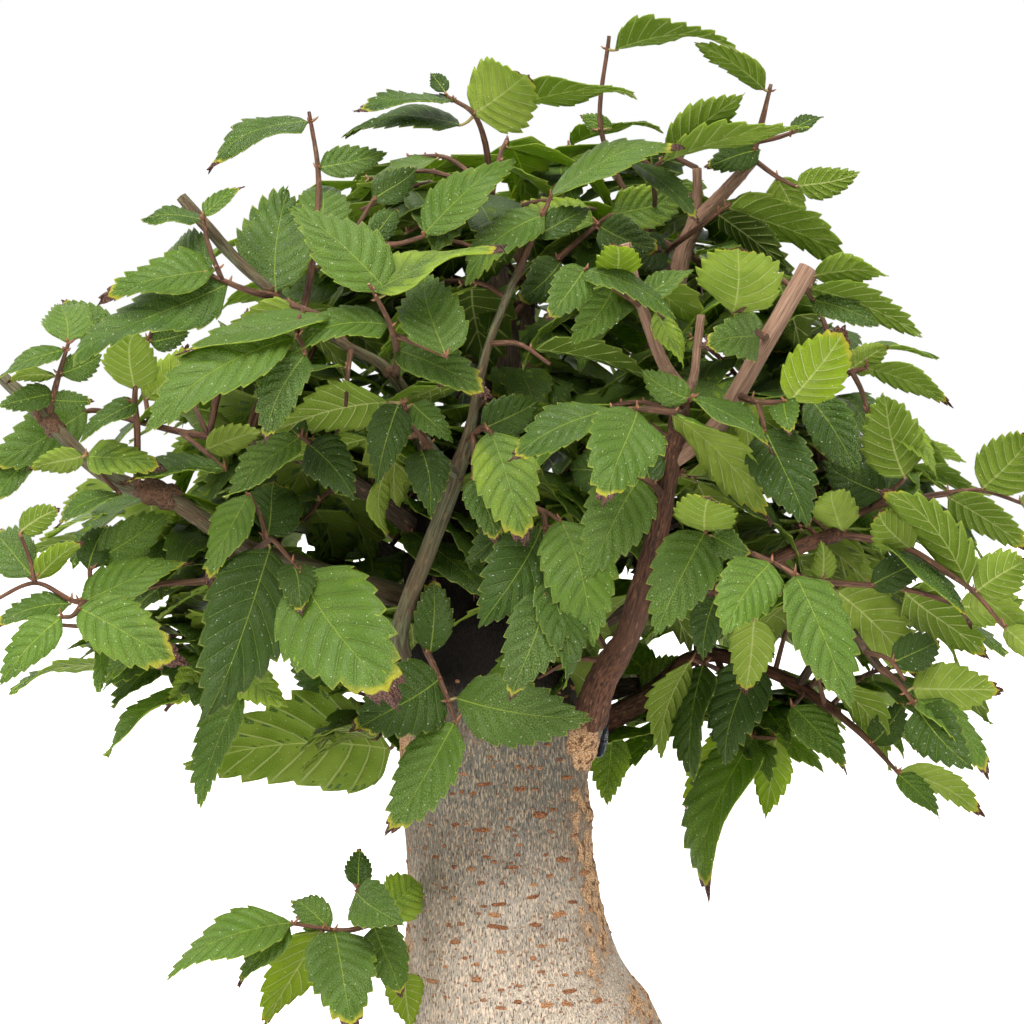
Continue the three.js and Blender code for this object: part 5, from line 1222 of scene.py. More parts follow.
def pot_material():
    """Unglazed stoneware: iron-brown, fine pores and faint throwing lines."""
    p = Paint("stoneware")
    spot = p.node("TexCoord").outputs["Object"]
    cloud = p.noise(spot, 14.0, 4.0)
    pores = p.noise(spot, 900.0, 3.0, 0.6)
    lines = p.noise(p.scaled(spot, (6.0, 6.0, 420.0)), 1.0, 2.0)
    specks = p.span(p.cells(spot, 330.0), 0.22, 0.10)
    colour = p.mix(p.span(cloud, 0.35, 0.68), (0.125, 0.062, 0.038), (0.215, 0.118, 0.072))
    colour = p.mix(p.span(pores, 0.5, 0.75, 0.0, 0.55), colour, (0.075, 0.038, 0.024))
    colour = p.mix(p.times(specks, 0.5), colour, (0.33, 0.22, 0.14))
    height = p.math("ADD", p.times(pores, 0.6), p.times(lines, 0.5))
    normal = p.bump(height, 0.0005, 0.7)
    roughness = p.span(cloud, 0.3, 0.7, 0.55, 0.78)
    return p.finish(p.surface(colour, roughness, normal, 0.35))


LEAF_UPPER = leaf_material("leaf_upper")
LEAF_UNDER = leaf_material("leaf_underside")
STALK = grained_material("leaf_stalk", (0.25, 0.23, 0.06), (0.22, 0.12, 0.05),
                         1.5, 3.0, 0.0002, 0.5, 0.4)
TWIG_BARK = bark_material("twig_bark", (0.058, 0.024, 0.013), (0.200, 0.088, 0.046),
                          (0.120, 0.066, 0.034))
BUD = grained_material("bud_scales", (0.13, 0.045, 0.022), (0.30, 0.14, 0.06),
                       1.2, 3.0, 0.0003, 0.5, 0.4)
CUT_WOOD = grained_material("cut_wood", (0.33, 0.22, 0.12), (0.62, 0.49, 0.33),
                            2.2, 4.0, 0.0005, 0.8, 0.2)
TRUNK_BARK = trunk_material()
FRONT_BARK = bark_material("bough_bark_red", (0.030, 0.011, 0.006), (0.195, 0.078, 0.036),
                           (0.095, 0.038, 0.018), 2.2, 0.8)
CUT_BARK = bark_material("bough_bark_pink", (0.200, 0.105, 0.062), (0.370, 0.225, 0.145),
                         (0.290, 0.160, 0.100))
LEFT_BARK = bark_material("bough_bark_olive", (0.066, 0.048, 0.022), (0.165, 0.172, 0.086),
                          (0.135, 0.070, 0.034), 1.3)
KNOB_BARK = bark_material("knob_bark_rust", (0.036, 0.017, 0.009), (0.225, 0.118, 0.062),
                          (0.200, 0.090, 0.042), 1.8, 0.9)
INNER_BARK = bark_material("bough_bark_brown", (0.030, 0.019, 0.010), (0.110, 0.072, 0.040),
                           (0.066, 0.044, 0.024))
SPRAY_MATERIALS = [LEAF_UPPER, LEAF_UNDER, STALK, TWIG_BARK, BUD, CUT_WOOD]


# Wood

def bough_points(name):
    """Points of a bough in mm, whether it is read off the picture or hidden."""
    if name in BOUGHS:
        return np.array([at(*p) for p in BOUGHS[name][0]])
    start, end = HIDDEN_BOUGHS[name][:2]
    shift = np.array((TREE_SHIFT_X, TREE_SHIFT_Y, 0))
    a = np.array(start) + shift
    b = np.array(end) + shift
    return np.array((a, (a + b) / 2 + (0, 0, 5), b))


def trunk_rings(rings=130, sides=72):
    """Trunk surface from the outline read off the picture, a little lobed front and back."""
    rows = []
    for row, left, right, depth in TRUNK_ROWS[::-1]:
        a, b = at(left, row, 0), at(right, row, 0)
        rows.append((a[0], b[0], depth, a[2]))
    angle = 2 * math.pi * np.arange(sides) / sides
    found = []
    for left, right, depth, z in curve_points(rows, np.linspace(0, 1, rings)):
        lobe = 0.022 * np.sin(3 * angle + z / 37) + 0.016 * np.sin(5 * angle - z / 23 + 1)
        lobe = 1 + lobe * np.abs(np.sin(angle))
        found.append(np.stack((
            (left + right) / 2 + np.cos(angle) * (right - left) / 2 * lobe,
            TREE_SHIFT_Y + np.sin(angle) * depth * lobe,
            np.full(sides, z)), axis=1))
    return np.array(found)


def root_points(degrees, reach, index):
    """Points of a surface root, which bends a little as it runs out and down."""
    angle = math.radians(degrees)
    bend = (draw(index, 7) - 0.5) * 0.5
    return np.array([(
        ROOT_AXIS_X + TREE_SHIFT_X + math.cos(angle + bend * turn) * reach * share,
        TREE_SHIFT_Y + math.sin(angle + bend * turn) * reach * share,
        height) for share, turn, height in zip(ROOT_REACHES, ROOT_TURNS, ROOT_HEIGHTS)])


# Foot of each thick bough: name, share of its length that the trunk's skin takes in, swelling
COLLARS = [
    ("right_front", 0.16, 1.15), ("right_rear", 0.2, 1.2), ("left", 0.16, 1.2), ("leader", 0.3, 1.1),
    ("right_leader", 0.2, 1.15), ("right_high", 0.25, 1.15), ("left_high", 0.2, 1.15),
    ("left_back", 0.3, 1.2), ("centre_front", 0.14, 1.15),
]

# Lumps on the trunk: column, row, depth, half sizes in mm
LUMPS = [
    (587, 816, -6, (3.0, 4.0, 2.6)), (589, 872, -4, (3.4, 5.0, 3.4)),
    (412, 760, 4, (4.0, 7.0, 6.5)), (424, 1044, -14, (6.0, 8.0, 8.0)),
    (500, 880, 27, (9.0, 4.5, 10.0)), (455, 760, 24, (7.0, 5.0, 8.0)),
]


def joined_skin(shape, voxel, rounds):
    """One skin round overlapping solids, smoothed; returns its points and faces in mm."""
    rough = shape.build("rough", [])
    remesh = rough.modifiers.new("skin", "REMESH")
    remesh.mode = "VOXEL"
    remesh.voxel_size = voxel * MM
    evaluated = rough.evaluated_get(bpy.context.evaluated_depsgraph_get())
    mesh = bpy.data.meshes.new_from_object(evaluated)
    points = np.empty(len(mesh.vertices) * 3)
    mesh.vertices.foreach_get("co", points)
    points = points.reshape(-1, 3) / MM
    faces = [tuple(face.vertices) for face in mesh.polygons]
    edges = np.array([tuple(edge.vertices) for edge in mesh.edges])
    degree = np.bincount(edges.ravel(), minlength=len(points))[:, None]
    for _ in range(rounds):
        total = np.zeros_like(points)
        np.add.at(total, edges[:, 0], points[edges[:, 1]])
        np.add.at(total, edges[:, 1], points[edges[:, 0]])
        points = points + 0.5 * (total / degree - points)
    bpy.data.objects.remove(rough)
    bpy.data.meshes.remove(mesh)
    return points, faces


def point_normals(points, faces):
    """Smooth normal at each point of a mesh."""
    mesh = bpy.data.meshes.new("normals")
    mesh.from_pydata(points.tolist(), [], faces)
    normals = np.empty(len(points) * 3)
    mesh.vertices.foreach_get("normal", normals)
    bpy.data.meshes.remove(mesh)
    return normals.reshape(-1, 3)


# Rough or stained bark seen from the front, where the places of strength 0.4 on the trunk's left and
# right edges are partly stain and partly painted shade of its sides: column, row, half width, half
# height, strength
ROUGH_AND_SHADED_PLACES = (
    (583, 744, 17, 27, 1), (598, 812, 12, 22, 1), (599, 862, 15, 40, 1), (604, 905, 11, 26, 1),
    (404, 760, 7, 22, 1), (402, 945, 14, 90, 0.4), (594, 800, 26, 90, 0.4), (598, 930, 20, 60, 0.4),
    (646, 1000, 22, 60, 0.4), (430, 745, 40, 26, 0.3),
)


def patch_share(points):
    """How rough, ochre and dark the bark is: the scar, the right edge, painted shade along both sides
    of the trunk, and some spots all round.
    """
    u, v = picture_of(points.T)
    front = points[:, 1] < TREE_SHIFT_Y + 16
    patch = np.zeros(len(points))
    for column, row, wide, tall, peak in ROUGH_AND_SHADED_PLACES:
        gap = ((u - column) / wide) ** 2 + ((v - row) / tall) ** 2
        patch = np.maximum(patch, np.where(front, peak * (1.35 - gap), 0))
    spots = grain(points / (22, 22, 30), 5) - 0.36
    patch = np.maximum(patch, np.where(points[:, 1] > TREE_SHIFT_Y + 6, spots * 3, 0))
    patch = patch + 0.55 * grain(points / 3.2, 8) * (patch > 0.02)
    return np.clip(patch, 0, 1)


def trunk_piece():
    """Trunk, roots and the feet of the boughs under one bark; returns what finds places on it."""
    shape = Shape()
    rings = trunk_rings()
    shape.add(rings.reshape(-1, 3), closed_faces(*rings.shape[:2]))
    for i, (degrees, reach, thickness) in enumerate(ROOTS):
        radii = [thickness * share for share in ROOT_TAPER]
        add_limb(shape, root_points(degrees, reach, i), radii, 20, 3, 0, 0.6, i)
    for name, share, swelling in COLLARS:
        shares = np.linspace(0, share, 5)
        points = curve_points(bough_points(name), shares)
        taper = np.linspace(swelling, 0.9, 5)
        add_limb(shape, points, list(radii_at(BOUGHS[name][1], shares) * taper), 16, 2, 0)
    add_ball(shape, at(*SCAR_PLACE), SCAR_HALF_SIZE, 0, 3, 0.12)
    for i, (u, v, y, size) in enumerate(LUMPS):
        add_ball(shape, at(u, v, y), size, 0, 20 + i, 0.1)
    points, faces = joined_skin(shape, TRUNK_VOXEL, TRUNK_ROUNDS)
    normals = point_normals(points, faces)
    patch = patch_share(points)
    relief = 0.55 * grain(points / (13, 13, 22), 1) + 0.14 * grain(points / (2.2, 2.2, 9), 2)
    relief += 0.12 * grain(points / 2.4, 3)
    relief += patch * (0.75 * grain(points / 2.8, 4) + 0.30 * grain(points / 1.9, 6))
    points = points + normals * relief[:, None]
    skin = Shape()
    skin.add(points, faces, 0, bark_place=points, patch=patch)
    piece = skin.build("trunk_bark", [TRUNK_BARK])
    tree = BVHTree.FromPolygons([Vector(p) for p in points], faces)
    place_piece(piece, "bark", "wood")
    return tree


# Where rays start that find the bark, off a dash and off the trunk's axis, and how far one goes
LIFT = 6
WIDER = 130
FAR = 2000


def add_lenticel(shape, tree, spot, normal, length, height, seed, tilt=0.0):
    """Raised corky bar with round ragged ends, laid on the bark."""
    rng = random.Random(seed)
    sideways = Vector((0, 0, 1)).cross(normal).normalized()
    upward = normal.cross(sideways)
    sideways, upward = (sideways * math.cos(tilt) + upward * math.sin(tilt),
                        upward * math.cos(tilt) - sideways * math.sin(tilt))
    around = 11
    points, corks = [], []
    uneven = [1 + rng.uniform(-0.22, 0.22) for _ in range(around)]
    for share, rise in ((1.0, -0.5), (1.0, 0.06), (0.66, 0.34)):
        for k in range(around):
            angle = 2 * math.pi * k / around
            c, s = math.cos(angle), math.sin(angle)
            a = math.copysign(abs(c) ** 0.6, c) * length / 2 * share * uneven[k]
            b = math.copysign(abs(s) ** 0.7, s) * height / 2 * share * uneven[k - 3]
            origin = spot + sideways * a + upward * b + normal * LIFT
            hit = tree.ray_cast(origin, -normal, 2 * LIFT)[0]
            base = hit if hit is not None else spot + sideways * a + upward * b
            points.append(np.array(base + normal * rise))
            corks.append((a + seed * 3.0, b, rise))
    middle = tree.ray_cast(spot + normal * LIFT, -normal, 2 * LIFT)[0] or spot
    points.append(np.array(middle + normal * 0.22))
    corks.append((seed * 3.0, 0.0, 0.0))
    faces = ring_faces(3, around)
    faces.append(tuple(range(around))[::-1])
    centre = 3 * around
    for k in range(around):
        faces.append((2 * around + k, 2 * around + (k + 1) % around, centre))
    shape.add(np.array(points), faces, 0, cork_place=np.array(corks), luck=rng.random())


def lenticel_piece(tree):
    """Dashes read off the front, and seeded ones round the rest of the trunk."""
    shape = Shape()
    eye = Vector(EYE)
    rng = random.Random(11)
    count = 0
    for u, v, width in LENTICELS:
        way = (Vector(at(u, v, 0)) - eye).normalized()
        hit, normal = tree.ray_cast(eye, way, FAR)[:2]
        if hit is None:
            continue
        height = rng.uniform(0.9, 1.3) if width < 12 else rng.uniform(1.3, 1.9)
        count += 1
        add_lenticel(shape, tree, hit, normal, width * MM_PER_PX, height, count,
                     rng.uniform(-0.15, 0.15))
    axis = Vector((TREE_SHIFT_X, TREE_SHIFT_Y, 0))
    for _ in range(MORE_LENTICELS):
        angle = rng.uniform(0, 2 * math.pi)
        z = rng.uniform(LENTICEL_LOW, LENTICEL_HIGH)
        way = Vector((math.cos(angle), math.sin(angle), 0))
        hit, normal = tree.ray_cast(axis + way * WIDER + Vector((4, 0, z)), -way, WIDER)[:2]
        if hit is None or abs(normal.z) > 0.6:
            continue
        u, v = picture_of(hit)
        listed = hit.y < TREE_SHIFT_Y - 4 and v < 1020
        if listed and min(math.hypot(u - a, (v - b) * 1.6) for a, b, _ in LENTICELS) < 15:
            continue
        if listed and rng.random() < 0.45:
            continue
        length = rng.uniform(1.0, 2.4) if rng.random() < 0.75 else rng.uniform(2.6, 5.5)
        count += 1
        add_lenticel(shape, tree, hit, normal, length, rng.uniform(0.6, 1.0) + length * 0.1, count,
                     rng.uniform(-0.2, 0.2))
    return place_piece(shape.build("lenticels", [corky_material()]), "bark", "wood")


# Bough finish: bark, ruggedness in mm, whether the end is sawn, knobs as share and size in mm
BOUGH_LOOKS = {
    "right_front": (FRONT_BARK, 0.60, False, [(0.24, 4.9), (0.47, 4.1), (0.62, 3.8), (0.86, 4.0)]),
    "right_cut": (CUT_BARK, 0.16, True, [(0.42, 3.6), (0.72, 3.4)]),
    "right_stub": (CUT_BARK, 0.14, True, [(0.2, 2.8), (0.62, 2.6)]),
    "right_pin": (CUT_BARK, 0.10, True, [(0.3, 2.1)]),
    "right_rear": (FRONT_BARK, 0.25, False, [(0.5, 3.4)]),
    "right_mid": (FRONT_BARK, 0.18, False, [(0.5, 2.8), (0.97, 3.0)]),
    "right_high": (INNER_BARK, 0.25, False, []),
    "left": (LEFT_BARK, 0.34, True,
             [(0.55, 4.9), (0.58, 5.2), (0.62, 4.0), (0.88, 4.2), (0.90, 3.6), (0.36, 3.4)]),
    "left_back": (INNER_BARK, 0.2, False, []),
    "left_high": (LEFT_BARK, 0.22, True, [(0.3, 2.6), (0.72, 2.4)]),
    "centre_front": (LEFT_BARK, 0.24, False, [(0.5, 3.2), (0.25, 3.1)]),
    "centre_knob": (LEFT_BARK, 0.2, True, [(0.9, 2.6)]),
    "leader": (INNER_BARK, 0.45, True, [(0.5, 5.2)]),
    "right_leader": (CUT_BARK, 0.22, True, [(0.66, 3.6), (0.86, 3.0)]),
    "crown_pin": (CUT_BARK, 0.10, True, []),
    "right_low": (INNER_BARK, 0.12, False, []),
}


# Share of a bough's length that is left to the trunk's skin
BARE_FEET = {"right_front": 0.13}


def bough_piece(name):
    """One bough with its ridges, knobs and sawn end."""
    shape = Shape()
    points = bough_points(name)
    seed = 40 + len(name) + ord(name[-1])
    if name in BOUGHS:
        shares = np.linspace(BARE_FEET.get(name, 0), 1, 2 * len(points))
        points = curve_points(points, shares)
        radii = list(radii_at(BOUGHS[name][1], shares))
        bark, rugged, sawn, knobs = BOUGH_LOOKS[name]
    else:
        radii = HIDDEN_BOUGHS[name][2]
        bark, rugged, sawn, knobs = INNER_BARK, 0.25, False, [(0.6, 3.2)]
    sides = 16 if max(radii) > 2.5 else 12
    add_limb(shape, points, radii, sides, 1.3, 0, rugged, seed, 1 if sawn else None)
    for i, (share, size) in enumerate(knobs):
        spot = curve_points(points, [share])[0]
        way = unit(curve_points(points, [min(1, share + 0.02)])[0] - spot)
        flaky = bark is LEFT_BARK
        add_ball(shape, spot, (size * 0.78, size * 0.78, size * 0.95), 2 if flaky else 0, seed + i,
                 0.36 if flaky else 0.16, 3, way)
    piece = shape.build("bough_" + name, [bark, CUT_WOOD, KNOB_BARK], flat=(1,))
    return place_piece(piece, "bark", "wood")


def sealant_piece():
    """Bead of wound paste where the right bough leaves the trunk."""
    shape = Shape()
    add_ball(shape, at(*SEALANT_PLACE), SEALANT_HALF_SIZE, 0, 5, 0.16, 4)
    return place_piece(shape.build("sealant_bead", [sealant_material()]), "sealant", "wound_sealant")


# Foliage pieces

# Shortest and longest leaf of hidden twigs, of their side twigs and of the inner crown, in mm
OUTER_LENGTHS = (36, 47)
SIDE_LENGTHS = (28, 40)
INNER_LENGTHS = (31, 45)


def add_twig(shape, points, start, seed, sawn=False, sides=7, pitch=1.7):
    radii = [start, start * 0.82, 0.62]
    add_limb(shape, points, radii, sides, pitch, 3, 0.10, seed, 5 if sawn else None)


def add_stub(shape, spot, leaf, seed):
    """Small pointed scale beside the foot of a leaf stalk."""
    way = unit(spot - leaf["base"] + np.array([draw(seed, 21) - 0.5, draw(seed, 22) - 0.5, 0.4]))
    reach = 1.9 + 1.2 * draw(seed, 23)
    points = np.array([spot, spot + reach * 0.6 * way, spot + reach * way + np.array([0, 0, 0.4])])
    add_limb(shape, points, [0.62, 0.42, 0.14], 5, 1.2, 4, 0.05, seed)


# Twigs that end in a bare cut pin: spray and place in its list of twigs
BARE_PINS = {
    ("spray_crown_right_front", 0), ("spray_centre_top", 0), ("spray_left_high_up", 0),
    ("spray_left_high_stub", 0), ("spray_right_cut_up", 0), ("spray_left_mid", 0),
}

# Tone of a leaf: 0 plain, 1 yellow-green, 2 dark, 3 a little yellow, 5 a little dark; the dark tones,
# 2 and 5, darken a leaf with painted shade
TONES = {0: 0.0, 1: 0.65, 2: -1.0, 3: 0.35, 5: -0.55}

# Slot name passed on for a spray, by the tone of its first leaf
TONE_SLOTS = {0: "leaf", 1: "leaf_light", 2: "leaf_dark", 3: "leaf_light"}


def spray_piece(name, index):
    """Spray read off the picture."""
    shape = Shape()
    twigs, rows = SPRAYS[name]
    lines = []
    for i, twig in enumerate(twigs):
        points = np.array([at(*p) for p in twig])
        add_twig(shape, points, 1.25 if i == 0 else 0.95, index * 10 + i, (name, i) in BARE_PINS)
        lines.append(curve_points(points, np.linspace(0, 1, 8 * len(points))))
    for i, row in enumerate(rows):
        leaf = picture_leaf(row, twigs, i)
        seed = index * 100 + i
        spot = nearest_on(lines, leaf["base"])[0]
        tone = TONES[row[6]] + 0.25 * (draw(seed, 9) - 0.5)
        tip = 0.30 + 0.3 * draw(seed, 13) if draw(seed, 12) > 0.5 else 0.0
        scorch = SCORCHED.get((name, i), tip)
        add_leaf(shape, picture_grid(leaf["length"]), leaf, seed, tone, scorch)
        add_stalk(shape, spot, leaf, seed)
        add_stub(shape, spot, leaf, seed)
    piece = shape.build(name.replace("spray", "leaves"), SPRAY_MATERIALS)
    return place_piece(piece, TONE_SLOTS[rows[0][6]], name)


def hidden_spray_piece(index):
    """Spray of the hidden sides, with leaves along its twig and on two side twigs."""
    shape = Shape()
    bough, place, degrees, height, reach, count = HIDDEN_SPRAYS[index]
    points = hidden_twig(bough, place, degrees, height, reach)
    seed = 500 + index
    add_twig(shape, points, 1.25, seed)
    add_leafy_twig(shape, points, count + 2, seed, 0.22, OUTER_LENGTHS, SMALL_GRID)
    for k, turn in enumerate((0.8, -0.8)):
        start, ahead = curve_points(points, [0.45 + 0.15 * k, 0.5 + 0.15 * k])
        way = unit(ahead - start)
        c, s = math.cos(turn), math.sin(turn)
        way = np.array((way[0] * c - way[1] * s, way[0] * s + way[1] * c, way[2] + 0.25))
        side = np.array((start, start + way * 14 + (0, 0, 2), start + way * 27))
        add_twig(shape, side, 0.95, seed + 60 + k)
        add_leafy_twig(shape, side, 4, seed * 3 + k, 0.4, SIDE_LENGTHS, SMALL_GRID)
    piece = shape.build(f"leaves_hidden_{index + 1}", SPRAY_MATERIALS)
    return place_piece(piece, "leaf", f"spray_hidden_{index + 1}")


def add_leafy_twig(shape, points, count, seed, first, lengths, grid, droop=0.0, keep=None):
    """Leaves along a twig, without those that keep turns down; returns how many there are."""
    line = curve_points(points, np.linspace(0, 1, 12))
    made = 0
    for i, leaf in enumerate(side_leaves(points, count, seed, first, *lengths, droop)):
        if not in_box(leaf) or (keep and not keep(leaf)):
            continue
        # Tones here are mostly negative, which darkens these leaves with painted shade
        tone = 1.2 * (draw(seed, i * 7 + 40) - 0.68)
        scorch = 0.4 if draw(seed, i * 7 + 41) > 0.92 else 0.0
        add_leaf(shape, grid, leaf, seed * 31 + i, tone, scorch)
        spot = nearest_on([line], leaf["base"])[0]
        add_stalk(shape, spot, leaf, seed * 31 + i, 4, 2.5)
        made += 1
    return made


# How far a leaf of the hidden sides or the inner crown may stand past the solids' box, in mm
BOX_SPARE = 4


def in_box(leaf):
    """Whether a leaf stays in the box of the solids, with a little to spare."""
    tip = on_leaf(leaf, 1)
    for k in range(3):
        reach = abs(leaf["across"][k]) * leaf["width"] / 2
        if tip[k] - reach < cad_low[k] / MM - BOX_SPARE:
            return False
        if tip[k] + reach > cad_high[k] / MM + BOX_SPARE:
            return False
    return True


# Inner foliage: spacing, jitter, ranges along each axis, and reach of a twig, in mm
FILL_PITCH = 31
FILL_JITTER = 12
FILL_X = (-150, 160)
FILL_Y = (-70, 96)
FILL_Z = (225, 450)
FILL_REACH = (9, 72)

# Inner leaves are one piece for each sector round the trunk, and hide none of the open boughs
SECTORS = 8
OPEN_BOUGHS = ("right_front", "right_cut", "right_stub", "right_pin", "left", "centre_front")


def in_dense_crown(point):
    """Whether a place is where the crown is dense, seen from the front and in depth."""
    y = point[1] - TREE_SHIFT_Y
    u, v = picture_of(point)
    if not DENSE[0][0] < v < DENSE[-1][0]:
        return False
    left, right = edges_at(DENSE, v)
    half = (right - left) / 2
    share = (u - (left + right) / 2) / half
    if abs(share) >= 1:
        return False
    reach = half * MM_PER_PX * math.sqrt(1 - share ** 2)
    return -0.62 * reach < y < 0.92 * reach


def open_view():
    """Places along the leaves and boughs that the picture shows: column, row, depth, half width."""
    spots = []
    for twigs, rows in SPRAYS.values():
        for i, row in enumerate(rows):
            leaf = picture_leaf(row, twigs, i)
            for share in (0.0, 0.2, 0.4, 0.6, 0.8, 0.95):
                point = on_leaf(leaf, share)
                reach = max(row[4] * 0.5, 12) * (1 if share < 0.7 else 0.6)
                spots.append((*picture_of(point), point[1], reach))
    for name in OPEN_BOUGHS:
        points = bough_points(name)
        for point in curve_points(points, np.linspace(0.15, 1, 6 * len(points))):
            spots.append((*picture_of(point), point[1] - 3, 12))
    return np.array(spots)


OPEN_VIEW = open_view()


def behind_picture(leaf):
    """Whether a leaf hides nothing that the picture shows."""
    for share in (0.05, 0.2, 0.35, 0.5, 0.65, 0.8, 0.95):
        for turn in (-0.3, 0.3):
            point = on_leaf(leaf, share) + leaf["across"] * leaf["width"] * turn
            u, v = picture_of(point)
            near = np.hypot(OPEN_VIEW[:, 0] - u, OPEN_VIEW[:, 1] - v) < OPEN_VIEW[:, 3]
            if np.any(near & (OPEN_VIEW[:, 2] > point[1] - 1.5)):
                return False
    return True


def inner_foliage():
    """Leafy twigs that fill the crown among the front sprays, grown from the nearest bough."""
    rng = random.Random(77)
    lines = {}
    for name in list(BOUGHS) + list(HIDDEN_BOUGHS):
        points = bough_points(name)
        lines[name] = curve_points(points, np.linspace(0.3, 1, 7 * len(points)))
    shapes = [Shape() for _ in range(SECTORS)]
    seed = 900
    for x in np.arange(*FILL_X, FILL_PITCH):
        for y in np.arange(*FILL_Y, FILL_PITCH):
            for z in np.arange(*FILL_Z, FILL_PITCH):
                jitter = np.array([rng.uniform(-FILL_JITTER, FILL_JITTER) for _ in range(3)])
                end = np.array((x, y, z)) + jitter
                seed += 1
                if not in_dense_crown(end):
                    continue
                start, gap = min((nearest_on([line], end) for line in lines.values()),
                                 key=lambda found: found[1])
                if not FILL_REACH[0] <= gap <= FILL_REACH[1]:
                    continue
                middle = (start + end) / 2 + (0, 0, 0.12 * gap)
                points = np.array((start, middle, end))
                sector = int((math.atan2(end[1], end[0]) / (2 * math.pi) % 1) * SECTORS) % SECTORS
                shape = shapes[sector]
                if add_leafy_twig(shape, points, 4, seed, 0.45, INNER_LENGTHS, INNER_GRID, 0.3,
                                  behind_picture):
                    add_twig(shape, points, 1.0, seed, sides=5, pitch=4)
    for i, shape in enumerate(shapes):
        if shape.parts:
            place_piece(shape.build(f"inner_leaves_{i + 1}", SPRAY_MATERIALS), "leaf")


# Pot and soil

def lathe(profile, sides, squeeze):
    """Rings of a turned profile, squeezed in depth to an oval."""
    angle = 2 * math.pi * np.arange(sides) / sides
    rings = [np.stack((np.cos(angle) * r, np.sin(angle) * r * squeeze, np.full(sides, z)), axis=1)
             for r, z in profile]
    return np.concatenate(rings), closed_faces(len(rings), sides)


def rounded(profile, steps=4):
    """Profile with each corner turned into an arc, as wide as the third number says."""
    found = []
    for i, (r, z, soft) in enumerate(profile):
        here = np.array((r, z), float)
        if soft == 0:
            found.append(tuple(here))
            continue
        before = np.array(profile[i - 1][:2], float)
        after = np.array(profile[i + 1][:2], float)
        a = here + unit(before - here) * soft
        b = here + unit(after - here) * soft
        for k in range(steps + 1):
            t = k / steps
            found.append(tuple((1 - t) ** 2 * a + 2 * t * (1 - t) * here + t * t * b))
    return found


def pot_piece():
    """Turned oval pot, joined with its feet and cut by its drain holes."""
    half = POT_LENGTH / 2
    floor_top = POT_FOOT_HEIGHT + POT_FLOOR_THICKNESS
    rim_low = POT_HEIGHT - POT_RIM_DEPTH
    profile = [
        (1, POT_FOOT_HEIGHT, 0),
        (half - POT_BASE_INSET - 1, POT_FOOT_HEIGHT, 5),
        (half - 15, POT_FOOT_HEIGHT + 26, 9),
        (half - 7, rim_low - 3, 2.5),
        (half - 1.2, rim_low, 1.2),
        (half, rim_low + 4, 1.5),
        (half, POT_HEIGHT, 2.2),
        (half - POT_RIM, POT_HEIGHT, 2.2),
        (half - POT_RIM, SOIL_EDGE_Z - 6, 1),
        (half - POT_BASE_INSET - POT_WALL, floor_top, 4),
        (1, floor_top, 0),
    ]
    points, faces = lathe(rounded(profile), POT_SIDES, POT_SQUEEZE)
    body = Shape()
    body.add(points, faces)
    pot = body.build("oval_pot", [pot_material()])
    cutters = []
    for sx in (-1, 1):
        for sy in (-1, 1):
            foot = foot_object(sx, sy)
            cutters.append((foot, "UNION"))
        hole = Shape()
        rings = [(DRAIN_RADIUS, POT_FOOT_HEIGHT - 3), (DRAIN_RADIUS, floor_top + 3)]
        hole_points, hole_faces = lathe(rings, 32, 1)
        hole.add(hole_points + (sx * DRAIN_OFFSET, 0, 0), hole_faces)
        cutters.append((hole.build("hole", []), "DIFFERENCE"))
    for other, operation in cutters:
        cut = pot.modifiers.new("cut", "BOOLEAN")
        cut.object = other
        cut.operation = operation
        cut.solver = "EXACT"
    evaluated = pot.evaluated_get(bpy.context.evaluated_depsgraph_get())
    mesh = bpy.data.meshes.new_from_object(evaluated)
    pot.modifiers.clear()
    pot.data = mesh
    for other, _ in cutters:
        bpy.data.objects.remove(other)
    mesh.set_sharp_from_angle(angle=math.radians(40))
    return place_piece(pot, "pot_clay", "pot")


def foot_object(sx, sy):
    """Low bracket foot with a curved inner edge."""
    shape = Shape()
    outline = []
    for k in range(13):
        t = -1 + k / 6
        outline.append((t * FOOT_LENGTH / 2, -FOOT_WIDTH / 2 + 1.2 * t * t))
    for k in range(13):
        t = 1 - k / 6
        outline.append((t * FOOT_LENGTH / 2, FOOT_WIDTH / 2 - 2.5 * abs(t) ** 3))
    angle = -sx * sy * FOOT_TURN
    c, s = math.cos(angle), math.sin(angle)
    rings = []
    for z, share in ((0, 0.93), (1.2, 0.98), (POT_FOOT_HEIGHT + 2, 1.0)):
        rings.append([(sx * FOOT_X + (x * c - y * s) * share, sy * FOOT_Y + (x * s + y * c) * share, z)
                      for x, y in outline])
    shape.add(np.array(rings).reshape(-1, 3), closed_faces(3, len(outline)))
    return shape.build("foot", [])


def soil_height(x, y):
    """Height of the soil, which falls from the middle to the rim."""
    share = np.hypot(x, y / POT_SQUEEZE) / (POT_LENGTH / 2 - POT_RIM)
    shoulder = SOIL_EDGE_Z + 0.6 * (SOIL_CROWN_Z - SOIL_EDGE_Z)
    return np.interp(share, (0, 0.72, 1), (SOIL_CROWN_Z, shoulder, SOIL_EDGE_Z))


